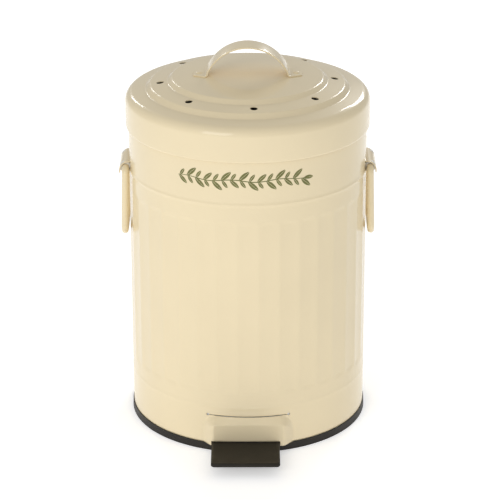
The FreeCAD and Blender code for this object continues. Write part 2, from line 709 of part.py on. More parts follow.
def make_pedal_sleeve():
    body = new_body("pedal_sleeve")
    root = "ring_radius - 8"
    tip = "pad_reach - pad_skin"
    slab(
        body, "YZ_Plane",
        [blade_line(root, "-pad_skin"), blade_line("pad_reach", "-pad_skin"),
         blade_line("pad_reach", "lever_thick + pad_skin"), blade_line(root, "lever_thick + pad_skin")],
        "2 * pad_half", "pad_shift",
    )
    reach = number("pad_reach")

    def front_upright(edge):
        ends = [vertex.Point for vertex in edge.Vertexes]
        return len(ends) == 2 and all(abs(p.y + reach) < 0.01 for p in ends) and abs(ends[0].x - ends[1].x) < 0.01

    rounded(body, "pad_corner", front_upright)
    slab(
        body, "YZ_Plane",
        [blade_line(root), blade_line(tip), blade_line(tip, "lever_thick"), blade_line(root, "lever_thick")],
        "2 * (pad_half - pad_side)", "pad_shift", "Pocket",
    )
    disc(body, "XY_Plane", "0", "0", "ring_radius + pad_gap", "200", kind="Pocket")


def make_pedal_axle():
    clip_in = "(lug_inner + lug_thick + 0.4)"
    end = f"({clip_in} + clip_thick + 1.6)"
    node(rod("axle_radius", f"2 * {end}", (f"-{end}", "-pivot_y", "pivot_z"), "X"), "pedal_axle")
    clips = []
    for start in (clip_in, f"-({clip_in} + clip_thick)"):
        outer = rod("clip_radius", "clip_thick", (start, "-pivot_y", "pivot_z"), "X")
        inner = rod("axle_radius", "clip_thick", (start, "-pivot_y", "pivot_z"), "X")
        clips.append(less(outer, inner))
    node(grouped(clips), "axle_clips")


# --- the push rod ---


def make_push_rod():
    top = f"({PIN_Z} - fork_floor - 0.5)"
    node(rod("rod_radius", f"{top} - rod_bottom", ("0", "rod_y", "rod_bottom")), "push_rod")
    foot = rod("foot_radius", "foot_high", ("0", "rod_y", FOOT_Z))
    foot_bore = rod("rod_radius", "foot_high", ("0", "rod_y", FOOT_Z))
    node(less(foot, foot_bore), "rod_foot")
    clip_z = f"({BLADE_LOW} - rod_slack - clip_thick)"
    clip = rod("foot_radius", "clip_thick", ("0", "rod_y", clip_z))
    clip_bore = rod("rod_radius", "clip_thick", ("0", "rod_y", clip_z))
    node(less(clip, clip_bore), "rod_clip")
    make_rod_head()
    node(rod("rod_pin_radius", "2 * head_half", ("-head_half", "rod_y", PIN_Z), "X"), "rod_pin")


def make_rod_head():
    body = new_body("rod_head")
    low, high = f"{PIN_Z} - head_below", f"{PIN_Z} + head_above"
    slab(
        body, "YZ_Plane",
        [("rod_y - head_depth", low), ("rod_y + head_depth", low), ("rod_y + head_depth", high),
         ("rod_y - head_depth", high)],
        "2 * head_half",
    )
    slab(
        body, "YZ_Plane",
        [("rod_y - 2 * head_depth", f"{PIN_Z} - fork_floor"), ("rod_y + 2 * head_depth", f"{PIN_Z} - fork_floor"),
         ("rod_y + 2 * head_depth", f"{high} + 1"), ("rod_y - 2 * head_depth", f"{high} + 1")],
        "2 * (crank_half + 0.35)", kind="Pocket",
    )
    disc(body, "YZ_Plane", "rod_y", PIN_Z, "rod_pin_radius", "4 * head_half", kind="Pocket")
    disc(body, "XY_Plane", "0", "rod_y", "rod_radius", "head_below - fork_floor - 0.5", low,
         kind="Pocket", centred=False, flip=True)


def make_rod_guides():
    barrel = "(floor_level - 2.6)"
    outer = [
        rod("foot_radius", f"floor_level + sheet - {barrel}", ("0", "rod_y", barrel)),
        rod("foot_radius + 1.2", "1.5", ("0", "rod_y", "floor_level + sheet")),
    ]
    bore = rod("rod_radius + run_fit", f"floor_level + sheet + 2 - {barrel}", ("0", "rod_y", f"{barrel} - 0.1"))
    node(less(joined(outer), bore), "rod_guide_lower")
    body = new_body("rod_guide_upper")
    back = "(body_radius - sheet)"
    half = "(ear_inner + ear_thick)"
    web = f"({back} - 1.7)"
    slab(
        body, "XY_Plane",
        [(f"-{half}", f"{web} - 2"), (half, f"{web} - 2"), (half, "body_radius"), (f"-{half}", "body_radius")],
        "plate_high - guide_low - 3", "guide_low + 3", centred=False,
    )
    disc(body, "XY_Plane", "0", "0", web, "4 * guide_low", kind="Pocket")
    slab(
        body, "XY_Plane",
        [("-head_half", "rod_y - head_depth"), ("head_half", "rod_y - head_depth"),
         ("head_half", f"{web} + 1"), ("-head_half", f"{web} + 1")],
        "guide_high", "guide_low", centred=False,
    )
    disc(body, "XY_Plane", "0", "rod_y", "rod_radius + run_fit", "4 * guide_low", kind="Pocket")
    trim_outside(body, back)
    for side in ("-", ""):
        for level in WALL_RIVETS:
            radial_hole(body, side, level)


def trim_outside(body, radius):
    """Removes what stands outside a cylinder round the bin's axis."""
    sketch = new_sketch(body, "XY_Plane")
    add_circle(sketch, "0", "0", radius)
    add_circle(sketch, "0", "0", f"{radius} + 40")
    feature(body, "Pocket", sketch, Length="4 * rim_top", Midplane=True)


def radial_hole(body, side, level, turn="rivet_turn"):
    """A rivet hole through the rear, along the radius at the rivets' angle."""
    sketch = new_sketch(body, "XZ_Plane")
    axis = Vector(0, 1 if side == "-" else -1, 0)
    sketch.AttachmentOffset = Placement(Vector(), Rotation(axis, number(turn)))
    sketch.setExpression("AttachmentOffset.Rotation.Angle", bound(f"{turn} * 1 deg"))
    add_circle(sketch, "0", level, "rivet_radius")
    feature(body, "Pocket", sketch, Length="2 * body_radius", Midplane=False)


# --- the lid hinge ---


def radial(side, turn):
    """The direction of a rivet beside the middle of the rear wall, as a rotation of +Z."""
    angle = number(turn) * (1 if side == "-" else -1)
    return Rotation(Vector(0, 0, 1), angle).multiply(Rotation(Vector(1, 0, 0), -90))


def wall_rivet(side, level, inner, outer, angle="rivet_turn"):
    """A rivet from the radius inner to the radius outer, with a dome outside and a flat head inside."""
    sine = f"{side}sin({angle} * 1 deg)"
    cosine = f"cos({angle} * 1 deg)"
    turn = radial(side, angle)

    def on(radius):
        return (f"({radius}) * {sine}", f"({radius}) * {cosine}", level)

    # the flat head stands clear of the hollow side of the sheet by a hair
    seat = f"({inner}) - 0.06"
    return joined([
        rod("rivet_radius", f"({outer}) - ({seat}) + 0.3", on(f"{seat} - 0.3"), turn=turn),
        frustum("rivet_head", "rivet_head * 0.55", "rivet_dome", on(outer), turn),
        rod("rivet_head", "0.6", on(f"{seat} - 0.6"), turn=turn),
    ])


def make_hinge_bracket():
    body = new_body("hinge_bracket")
    ear_out = "(ear_inner + ear_thick)"
    far = "(body_radius + ear_thick)"
    slab(
        body, "XY_Plane",
        [(f"-{ear_out}", "body_radius - 4"), (ear_out, "body_radius - 4"), (ear_out, far), (f"-{ear_out}", far)],
        "plate_high - plate_low", "plate_low", centred=False,
    )
    trim_outside(body, far)
    for side in ("-", ""):
        level = f"{side}(ear_inner + ear_thick / 2)"
        slab(
            body, "YZ_Plane",
            [("body_radius - 3", "plate_low"), ("body_radius + 2.5", "plate_low"),
             ("hinge_y + hinge_boss", "hinge_z - hinge_boss"), ("hinge_y + hinge_boss", "hinge_z"),
             ("hinge_y - hinge_boss", "hinge_z"), ("body_radius - 3", "plate_high + 4")],
            "ear_thick", level,
        )
        disc(body, "YZ_Plane", "hinge_y", "hinge_z", "hinge_boss", "ear_thick", level)
    disc(body, "YZ_Plane", "hinge_y", "hinge_z", "hinge_radius", "4 * ear_inner", kind="Pocket")
    disc(body, "XY_Plane", "0", "0", "body_radius", "4 * rim_top", kind="Pocket")
    for side in ("-", ""):
        for level in WALL_RIVETS:
            radial_hole(body, side, level)
    rivets = []
    for side in ("-", ""):
        for level in WALL_RIVETS:
            rivets.append(wall_rivet(side, level, "body_radius - sheet - 1.7", far))
    node(grouped(rivets), "hinge_rivets")


def make_hinge_pin():
    reach = "(ear_inner + ear_thick + 1.8)"
    shank = rod("hinge_radius", f"2 * {reach}", (f"-{reach}", "hinge_y", "hinge_z"), "X")
    head = rod("hinge_radius * 1.7", "1.5", (f"-{reach}", "hinge_y", "hinge_z"), "X")
    node(joined([shank, head]), "hinge_pin")
    cap = rod("hinge_radius * 1.7", "2.4", (f"{reach} - 1.2", "hinge_y", "hinge_z"), "X")
    bore = rod("hinge_radius", "1.2", (f"{reach} - 1.2", "hinge_y", "hinge_z"), "X")
    node(less(cap, bore), "hinge_pin_cap")


def make_lid_hinge_arm():
    body = new_body("lid_hinge_arm")
    far = "(lid_radius + ear_thick)"
    low, high = "skirt_low + 2", "skirt_low + 18"
    slab(
        body, "XY_Plane",
        [(f"-{CHEEK_OUT}", "lid_radius - 4"), (CHEEK_OUT, "lid_radius - 4"), (CHEEK_OUT, far),
         (f"-{CHEEK_OUT}", far)],
        f"({high}) - ({low})", low, centred=False,
    )
    trim_outside(body, far)
    for side in ("-", ""):
        level = f"{side}({CHEEK_IN} + ear_thick / 2)"
        slab(
            body, "YZ_Plane",
            [("lid_radius - 3", low), ("hinge_y - hinge_boss + 0.3", "hinge_z"),
             ("hinge_y + hinge_boss - 0.3", "hinge_z"), ("hinge_y + 1", high), ("lid_radius - 3", high)],
            "ear_thick", level,
        )
        disc(body, "YZ_Plane", "hinge_y", "hinge_z", "hinge_boss - 0.3", "ear_thick", level)
    disc(body, "YZ_Plane", "hinge_y", "hinge_z", "hinge_radius + run_fit", "4 * ear_inner", kind="Pocket")
    disc(body, "XY_Plane", "0", "0", "lid_radius", "4 * rim_top", kind="Pocket")
    for side in ("-", ""):
        for level in ARM_RIVETS:
            radial_hole(body, side, level, "arm_rivet_turn")
    rivets = []
    for side in ("-", ""):
        for level in ARM_RIVETS:
            rivets.append(wall_rivet(side, level, "lid_radius - sheet", far, "arm_rivet_turn"))
    node(grouped(rivets), "hinge_arm_rivets")


def make_lid_crank():
    """The crank is drawn level and turned down about the hinge pin by half the lid's swing."""
    body = doc.addObject("PartDesign::Body", "crank")
    sketch = new_sketch(body, "YZ_Plane")
    add_polygon(sketch, [("0", "-crank_high"), ("0", "crank_high"), (f"-{CRANK_REACH}", "crank_high * 0.9"),
                         (f"-{CRANK_REACH}", "-crank_high * 0.9")])
    feature(body, "Pad", sketch, Length="2 * crank_half", Midplane=True)
    disc(body, "YZ_Plane", "0", "0", "crank_high", "2 * crank_half")
    disc(body, "YZ_Plane", "0", "0", "hinge_radius + run_fit", "4 * crank_half", kind="Pocket")
    slot = [(f"-{CRANK_FAR}", f"-{CRANK_SLOT}"), (f"-{CRANK_NEAR}", f"-{CRANK_SLOT}"),
            (f"-{CRANK_NEAR}", CRANK_SLOT), (f"-{CRANK_FAR}", CRANK_SLOT)]
    slab(body, "YZ_Plane", slot, "4 * crank_half", kind="Pocket")
    for end in (CRANK_FAR, CRANK_NEAR):
        disc(body, "YZ_Plane", f"-{end}", "0", CRANK_SLOT, "4 * crank_half", kind="Pocket")
    place(body, ("0", "hinge_y", "hinge_z"), Rotation(Vector(1, 0, 0), number("lid_swing") / 2))
    web = doc.addObject("PartDesign::Body", "crank_web")
    near = "(lid_radius + ear_thick)"
    slab(
        web, "YZ_Plane",
        [(near, "skirt_low + 2"), ("hinge_y - crank_high + 0.6", "hinge_z + 1"),
         ("hinge_y - hinge_radius - 0.6", "hinge_z"), ("hinge_y", "hinge_z + hinge_radius + 0.6"),
         ("hinge_y + crank_high", "hinge_z + 1"), ("hinge_y + 1", "skirt_low + 16"), (near, "skirt_low + 16")],
        "2 * crank_half",
    )
    disc(web, "YZ_Plane", "hinge_y", "hinge_z", "hinge_radius + run_fit", "4 * crank_half", kind="Pocket")
    node(joined([body, web]), "crank_plate")


# --- the lid ---


def make_lid_shell():
    body = new_body("lid_shell")
    shell = "lid_radius - sheet"
    outer_foot, outer_top = "outer_step + step_run / 2", "outer_step - step_run / 2"
    inner_foot, inner_top = "inner_step + step_run / 2", "inner_step - step_run / 2"
    drop = "sheet * 1.05"
    shift = "sheet * 0.4"
    outside = [
        ("lid_radius", "skirt_low"), ("lid_radius", "lid_edge"), (outer_foot, "tier_one"),
        (outer_top, "tier_two"), (inner_foot, "tier_three"), (inner_top, "tier_four"), ("0", "lid_crown"),
    ]
    inside = [("0", f"lid_crown - {drop}")]
    for radius, level in ((inner_top, "tier_four"), (inner_foot, "tier_three"), (outer_top, "tier_two"),
                          (outer_foot, "tier_one")):
        inside.append((f"{radius} - {shift}", f"{level} - {drop}"))
    inside += [(shell, f"lid_edge - {drop}"), (shell, "skirt_low")]
    revolve(body, outside + inside)
    rounded(body, "lid_shoulder", ring_edge("lid_radius", "lid_edge"))
    rounded(body, "lid_shoulder - sheet", ring_edge(shell, f"lid_edge - {drop}"))
    for radius, level in ((outer_foot, "tier_one"), (outer_top, "tier_two"), (inner_foot, "tier_three"),
                          (inner_top, "tier_four")):
        rounded(body, "step_round", ring_edge(radius, level))
    for side in ("-", ""):
        for level in ARM_RIVETS:
            radial_hole(body, side, level, "arm_rivet_turn")
    turn = "(vent_turn * 1 deg)"
    vent = disc(
        body, "XY_Plane", f"vent_circle * sin{turn}", f"-vent_circle * cos{turn}", "vent_radius",
        "2 * lid_radius", "skirt_low", kind="Pocket", centred=False, flip=True,
    )
    around(body, vent, "vent_count")
    for side in ("-", ""):
        disc(body, "XY_Plane", f"{side}strap_rivet", "0", "rivet_radius", "2 * lid_radius", "skirt_low",
             kind="Pocket", centred=False, flip=True)


def on_lid(radius):
    """Height of the lid's middle tier at a radius."""
    return f"(lid_crown - ({radius}) * {LID_SLOPE})"


def make_lid_handle():
    centre = f"(arch_top - strap_thick - {ARCH_IN})"
    start = ("0", "-strap_half", centre)
    arch = less(
        rod(f"{ARCH_IN} + strap_thick", "2 * strap_half", start, "Y"),
        rod(ARCH_IN, "4 * strap_half", ("0", "-2 * strap_half", centre), "Y"),
    )
    keep = block(("-strap_foot", "-strap_half", on_lid("arch_span")), ("strap_foot", "strap_half", "arch_top + 1"))
    arc = doc.addObject("Part::MultiCommon", "arc")
    arc.Shapes = [arch, keep]
    slope = math.degrees(math.atan(number(LID_SLOPE)))
    feet = []
    for side in (1, -1):
        foot = doc.addObject("Part::Box", "foot")
        bind(foot, Length="strap_foot - arch_span + strap_thick", Width="2 * strap_half", Height="strap_thick")
        if side > 0:
            at = ("arch_span - strap_thick", "-strap_half", on_lid("arch_span - strap_thick"))
            place(foot, at, Rotation(Vector(0, 1, 0), slope))
        else:
            at = ("-(arch_span - strap_thick)", "strap_half", on_lid("arch_span - strap_thick"))
            place(foot, at, Rotation(Vector(0, 0, 1), 180).multiply(Rotation(Vector(0, 1, 0), slope)))
        feet.append(foot)
    bores = [
        rod("rivet_radius", "30", (f"{side}strap_rivet", "0", "tier_four - 10")) for side in ("-", "")
    ]
    node(less(joined([arc] + feet), grouped(bores)), "lid_handle")
    rivets = []
    washers = []
    grip_low = f"({on_lid('strap_rivet')} - sheet * 1.3 - 1)"
    for side in ("-", ""):
        x = f"{side}strap_rivet"
        head_z = f"({on_lid('strap_rivet')} + strap_thick + 0.14)"
        rivets.append(joined([
            rod("rivet_radius", f"{head_z} - {grip_low}", (x, "0", grip_low)),
            frustum("rivet_head", "rivet_head * 0.5", "rivet_dome", (x, "0", head_z)),
            rod("rivet_head * 0.9", "0.6", (x, "0", f"{grip_low} - 0.6")),
        ]))
        washer = rod("rivet_head * 1.4", "0.8", (x, "0", grip_low))
        washers.append(less(washer, rod("rivet_radius", "0.8", (x, "0", grip_low))))
    node(grouped(rivets), "handle_rivets")
    node(grouped(washers), "handle_washers")


def make_filter():
    node(rod("filter_radius", "filter_thick", ("0", "0", "filter_low")), "carbon_filter")
    body = new_body("filter_grid")
    low = "filter_low - grid_thick"
    revolve(body, [("grid_radius - grid_band", low), ("grid_radius", low), ("grid_radius", "filter_low"),
                   ("grid_radius - grid_band", "filter_low")])
    hub = disc(body, "XY_Plane", "0", "0", "grid_band * 1.5", "grid_thick", low, centred=False)
    bar = slab(
        body, "XY_Plane",
        [("0", "-grid_band / 2"), ("grid_radius - grid_band / 2", "-grid_band / 2"),
         ("grid_radius - grid_band / 2", "grid_band / 2"), ("0", "grid_band / 2")],
        "grid_thick", low, centred=False,
    )
    around(body, bar, "grid_bars")
    hooks = new_body("filter_hooks")
    inner = "grid_radius + 0.3"
    weld = f"tier_one - sheet * 1.05 + hook_weld"
    lip = slab(
        hooks, "XZ_Plane",
        [(f"{inner} - hook_lip", f"{low} - hook_steel - 0.1"), (f"{inner} + hook_steel", f"{low} - hook_steel - 0.1"),
         (f"{inner} + hook_steel", weld), (inner, weld), (inner, f"{low} - 0.1"),
         (f"{inner} - hook_lip", f"{low} - 0.1")],
        "2 * hook_half",
    )
    pattern = hooks.newObject("PartDesign::PolarPattern", "around")
    pattern.Originals = [lip]
    pattern.Axis = (lip.Profile[0], ["V_Axis"])
    pattern.Angle = 360
    pattern.Occurrences = 4
    hooks.Tip = pattern
    doc.recompute()


# --- the drop handles ---


def beside_wall():
    """What is cut from a piece that sits on the wall at the height of the high bead."""
    wall = rod("body_radius", "4 * hood_radius", ("0", "0", f"{BAR_Z} - 2 * hood_radius"))
    bead = rod("body_radius + bead_height", "bead_width", ("0", "0", "high_bead - bead_width / 2"))
    return joined([wall, bead])


def make_hood(side, name):
    """A sheet that leaves the wall at its top and wraps round the outside of the handle's pivot."""
    sign = "-" if side < 0 else ""
    axis = (f"{sign}{BAR_X}", "-hood_half", BAR_Z)
    outer = doc.addObject("Part::Cylinder", "wrap")
    bind(outer, Radius="hood_radius", Height="2 * hood_half", Angle="90 + hood_wrap")
    # the angle opens from the lower lip, round the outside, to the top
    start = -90 if side > 0 else -(180 + number("hood_wrap"))
    place(outer, axis, Rotation(Vector(0, 1, 0), start).multiply(ALONG["Y"]))
    inner = rod("hood_radius - hood_steel", "4 * hood_half", (axis[0], "-2 * hood_half", BAR_Z), "Y")
    near, far = ("body_radius - 3", BAR_X) if side > 0 else (f"-{BAR_X}", "-(body_radius - 3)")
    strip = block((near, "-hood_half", "hood_top - hood_steel"), (far, "hood_half", "hood_top"))
    node(less(joined([less(outer, inner), strip]), beside_wall()), name)


def make_bushes():
    """The nylon bushes in both hoods, which carry the rod's ends."""
    bushes = []
    for side in (-1, 1):
        sign = "-" if side < 0 else ""
        for start in ("stub_end", "-(stub_end + bush_long)"):
            at = (f"{sign}{BAR_X}", start, BAR_Z)
            outer = rod("hood_radius - hood_steel", "bush_long", at, "Y")
            bore = rod("loop_radius + run_fit", "bush_long", at, "Y")
            bushes.append(less(outer, joined([bore, beside_wall()])))
    node(grouped(bushes), "handle_bushes")


def make_loop(side, name):
    """A loop of rod whose two ends turn inwards along the pivot, which is Y through the local origin."""
    half, drop = "loop_half", "loop_drop"
    top, low = "loop_top_bend", "loop_low_bend"
    pieces = [
        rod("loop_radius", f"{half} - {top} - stub_end", ("0", "stub_end", "0"), "Y"),
        rod("loop_radius", f"{half} - {top} - stub_end", ("0", f"-({half} - {top})", "0"), "Y"),
        rod("loop_radius", f"2 * ({half} - {low})", ("0", f"-({half} - {low})", f"-{drop}"), "Y"),
    ]
    for sign in ("-", ""):
        pieces.append(rod("loop_radius", f"{drop} - {top} - {low}", ("0", f"{sign}{half}", f"-{drop} + {low}")))
        for bend, z, quarter in ((top, f"-{top}", 0), (low, f"-{drop} + {low}", 1)):
            corner = doc.addObject("Part::Torus", "bend")
            bind(corner, Radius1=bend, Radius2="loop_radius")
            corner.Angle3 = 90
            start = {("", 0): 0, ("-", 0): 90, ("-", 1): 180, ("", 1): 270}[(sign, quarter)]
            # the torus lies in its own XY plane, which is turned into the YZ plane
            turn = Rotation(Vector(1, 1, 1), 120).multiply(Rotation(Vector(0, 0, 1), start))
            place(corner, ("0", f"{sign}({half} - {bend})", z), turn)
            pieces.append(corner)
    loop = joined(pieces)
    sign = "-" if side < 0 else ""
    lean = number("loop_lean") * (-side)
    place(loop, (f"{sign}{BAR_X}", "0", BAR_Z), Rotation(Vector(0, 1, 0), lean))
    node(loop, name)


# --- the bucket ---


def make_bucket():
    body = new_body("inner_bucket")
    shoulder = "bucket_top - bucket_rim_high"
    revolve(
        body,
        [("0", "bucket_low"), ("bucket_foot", "bucket_low"), ("bucket_mouth", shoulder),
         ("bucket_rim", shoulder), ("bucket_rim", "bucket_top"), ("bucket_mouth - bucket_wall", "bucket_top"),
         ("bucket_foot - bucket_wall", "bucket_low + bucket_wall"), ("0", "bucket_low + bucket_wall")],
    )
    rounded(body, "bucket_wall * 2", ring_edge("bucket_foot", "bucket_low"))
    for side in ("-", ""):
        start = "bucket_mouth - bucket_wall"
        flip = side == "-"
        disc(body, "YZ_Plane", "0", "bail_level", "bail_boss", f"bail_boss_end - ({start})",
             f"{side}({start})", centred=False, flip=flip)
    disc(body, "YZ_Plane", "0", "bail_level", "bail_wire + run_fit", "2 * (bail_boss_end + 1)", kind="Pocket")


def make_bail():
    bend = doc.addObject("Part::Torus", "bail_bend_arc")
    bind(bend, Radius1="bail_bend", Radius2="bail_wire")
    bend.Angle3 = 180
    place(bend, ("0", "0", "bail_level"), Rotation(Vector(0, 0, 1), 180))
    pieces = [bend]
    for start in ("-bail_bend", "bail_end"):
        pieces.append(rod("bail_wire", "bail_bend - bail_end", (start, "0", "bail_level"), "X"))
    for side in ("-", ""):
        ball = doc.addObject("Part::Sphere", "corner")
        bind(ball, Radius="bail_wire")
        pieces.append(place(ball, (f"{side}bail_bend", "0", "bail_level")))
    node(joined(pieces), "bucket_bail")
    arc = {}
    for name, radius in (("outer", "grip_radius"), ("inner", "bail_wire")):
        tube = doc.addObject("Part::Torus", name)
        bind(tube, Radius1="bail_bend", Radius2=radius, Angle3="2 * grip_turn")
        place(tube, ("0", "0", "bail_level"), Rotation(Vector(0, 0, 1), 270 - number("grip_turn")))
        arc[name] = tube
    node(less(arc["outer"], arc["inner"]), "bail_grip")


def check_objects():
    for item in doc.Objects:
        if "Invalid" in item.State or "Error" in item.State:
            raise RuntimeError(f"{item.Label} failed: {item.State}")
    for piece in NODES:
        if piece.Shape.isNull() or not piece.Shape.isValid() or not piece.Shape.Solids:
            raise RuntimeError(f"{piece.Label} has no valid solid")


def write_parts():
    os.makedirs("parts", exist_ok=True)
    for piece in NODES:
        piece.Shape.exportStep(f"parts/{piece.Label}.step")
        print(f"{piece.Label}: {len(piece.Shape.Solids)} solid(s), {piece.Shape.Volume / 1000:.2f} cm3")


fill_sheet()
make_body_shell()
make_base_ring()
make_floor_plate()
make_base_screws()
make_pedal_lever()
make_pedal_sleeve()
make_pedal_axle()
make_push_rod()
make_rod_guides()
make_hinge_bracket()
make_hinge_pin()
make_lid_hinge_arm()
make_lid_crank()
make_lid_shell()
make_lid_handle()
make_filter()
for hand, word in ((-1, "left"), (1, "right")):
    make_hood(hand, f"handle_hood_{word}")
    make_loop(hand, f"drop_handle_{word}")
make_bushes()
make_bucket()
make_bail()
doc.recompute()
check_objects()
write_parts()
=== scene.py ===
import json
import math

import bmesh
import bpy
import numpy as np
from bpy.props import FloatProperty, FloatVectorProperty, IntProperty, PointerProperty
from bpy.types import Operator, Panel, PropertyGroup
from mathutils import Matrix, Vector


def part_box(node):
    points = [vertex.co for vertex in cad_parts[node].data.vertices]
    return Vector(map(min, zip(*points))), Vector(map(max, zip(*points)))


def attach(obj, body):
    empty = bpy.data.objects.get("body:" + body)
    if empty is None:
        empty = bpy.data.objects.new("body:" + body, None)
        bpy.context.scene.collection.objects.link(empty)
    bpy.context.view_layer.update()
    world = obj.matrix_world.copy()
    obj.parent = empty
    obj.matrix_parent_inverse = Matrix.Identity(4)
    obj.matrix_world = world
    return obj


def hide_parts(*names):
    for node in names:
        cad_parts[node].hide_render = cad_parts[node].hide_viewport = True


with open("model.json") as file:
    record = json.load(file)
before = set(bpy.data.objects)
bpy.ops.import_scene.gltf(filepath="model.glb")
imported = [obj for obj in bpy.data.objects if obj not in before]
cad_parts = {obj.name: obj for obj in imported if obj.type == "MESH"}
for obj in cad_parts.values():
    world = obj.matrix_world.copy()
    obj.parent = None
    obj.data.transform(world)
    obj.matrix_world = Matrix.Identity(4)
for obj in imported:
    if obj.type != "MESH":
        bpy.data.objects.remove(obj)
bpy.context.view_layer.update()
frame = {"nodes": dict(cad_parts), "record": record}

bl_info = {
    "name": "Compost bin",
    "version": (1, 0, 0),
    "blender": (4, 5, 0),
    "location": "3D View > Sidebar > Bin",
    "description": "Builds the looks of an enamelled pedal bin round its packed frame",
    "category": "Object",
}

# Metres. The wall's smaller cut-outs and its rolled rim.
SLIT_EDGE = 0.0004
SLIT_HOLE = 0.0012
SLOT_EDGE = 0.0030
SLOT_HALF = 0.0029
SLOT_LOW, SLOT_HIGH = 0.2468, 0.2732
DOORWAY_LEFT, DOORWAY_RIGHT = -0.0317, 0.0269
HEM = 0.0012
# The lid's steps, as (radius, height), and its crown.
OUTER_FOOT, OUTER_TOP = (0.0865, 0.2946), (0.0825, 0.2986)
INNER_FOOT, INNER_TOP = (0.068, 0.3008), (0.064, 0.3042)
LID_EDGE = 0.2916
LID_CROWN = 0.3073
VENT_COUNT = 8
VENT_TURN = 4
# The lid handle's arch and rivets, from its middle.
ARCH_SPAN = 0.034
ARCH_FOOT = 0.0352
STRAP_RIVET = 0.041
STRAP_BEND = 0.0035
# The drop handles' bends and the angle at which they hang.
LOOP_TOP_BEND = 0.0042
LOOP_LOW_BEND = 0.008
LOOP_LEAN = math.radians(1.4)
# The pedal pad and the blade inside it.
PAD_BACK = 0.1043
PAD_CORNER = 0.0028
PAD_SLOPE = math.tan(math.radians(2.7))
PAD_UNDER = 0.00615
PAD_THICK = 0.0036
AXLE_Y = 0.088


def length(name, description, default):
    return FloatProperty(name=name, description=description, default=default, unit="LENGTH", precision=4)


class BinSettings(PropertyGroup):
    body_radius: length("Wall radius", "Outside of the wall", 0.1015)
    sheet: length("Sheet", "Thickness of the sheet steel", 0.0008)
    wall_low: length("Wall foot", "Lower edge of the wall", 0.0066)
    rim_top: length("Rim", "Top of the wall", 0.285)
    low_bead: length("Low bead", "Height of the lower bead", 0.041)
    high_bead: length("High bead", "Height of the upper bead", 0.225)
    bead_height: length("Bead height", "How far a bead stands proud", 0.0005)
    flute_low: length("Flutes from", "Lower end of the flutes", 0.052)
    flute_high: length("Flutes to", "Upper end of the flutes", 0.211)
    flute_depth: length("Flute depth", "Depth of a flute", 0.00055)
    flute_count: IntProperty(name="Flutes", description="Flutes round the wall", default=36)
    slit_level: length("Slit", "Height of the slit", 0.033)
    slit_half: length("Slit half length", "Half the slit's length", 0.0345)
    fold_level: length("Fold", "Height of the fold under the slit", 0.0265)
    fold_reach: length("Fold reach", "Distance of the fold from the bin's axis", 0.1040)
    doorway_top: length("Doorway", "Top of the pedal's cut-out", 0.0108)
    lid_radius: length("Lid radius", "Outside of the lid's skirt", 0.1039)
    skirt_low: length("Skirt", "Lower edge of the lid's skirt", 0.2628)
    vent_circle: length("Vent circle", "Radius of the circle of vent holes", 0.074)
    vent_radius: length("Vent hole", "Radius of a vent hole", 0.0032)
    strap_half: length("Strap half width", "Half the lid handle's width", 0.0108)
    strap_thick: length("Strap", "Thickness of the lid handle", 0.0013)
    hood_top: length("Hood top", "Top of the drop handles' hoods", 0.2334)
    hood_radius: length("Hood radius", "Outside of the hoods, from the wall", 0.0082)
    pivot_out: length("Handle pivot", "Drop handles' pivots, out from the wall", 0.0026)
    pivot_level: length("Handle pivot level", "Height of the drop handles' pivots", 0.2278)
    loop_half: length("Loop half width", "Half a drop handle's width, between rod centres", 0.0210)
    loop_drop: length("Loop height", "A drop handle's height, between rod centres", 0.0580)
    stub_end: length("Stub end", "Inner ends of the drop handles' rod", 0.0120)
    loop_radius: length("Loop rod", "Radius of the drop handles' rod", 0.00295)
    enamel: FloatVectorProperty(
        name="Enamel",
        description="Colour of the enamel",
        subtype="COLOR",
        default=(0.86, 0.735, 0.495),
    )
    ink: FloatVectorProperty(
        name="Print",
        description="Colour of the print",
        subtype="COLOR",
        default=(0.170, 0.170, 0.045),
    )
    print_low: length("Print from", "Lower edge of the print", 0.2375)
    print_high: length("Print to", "Upper edge of the print", 0.2555)
    print_left: length("Print left", "Left end of the print, along the wall", -0.0625)
    print_right: length("Print right", "Right end of the print, along the wall", 0.0565)


# --- materials ---


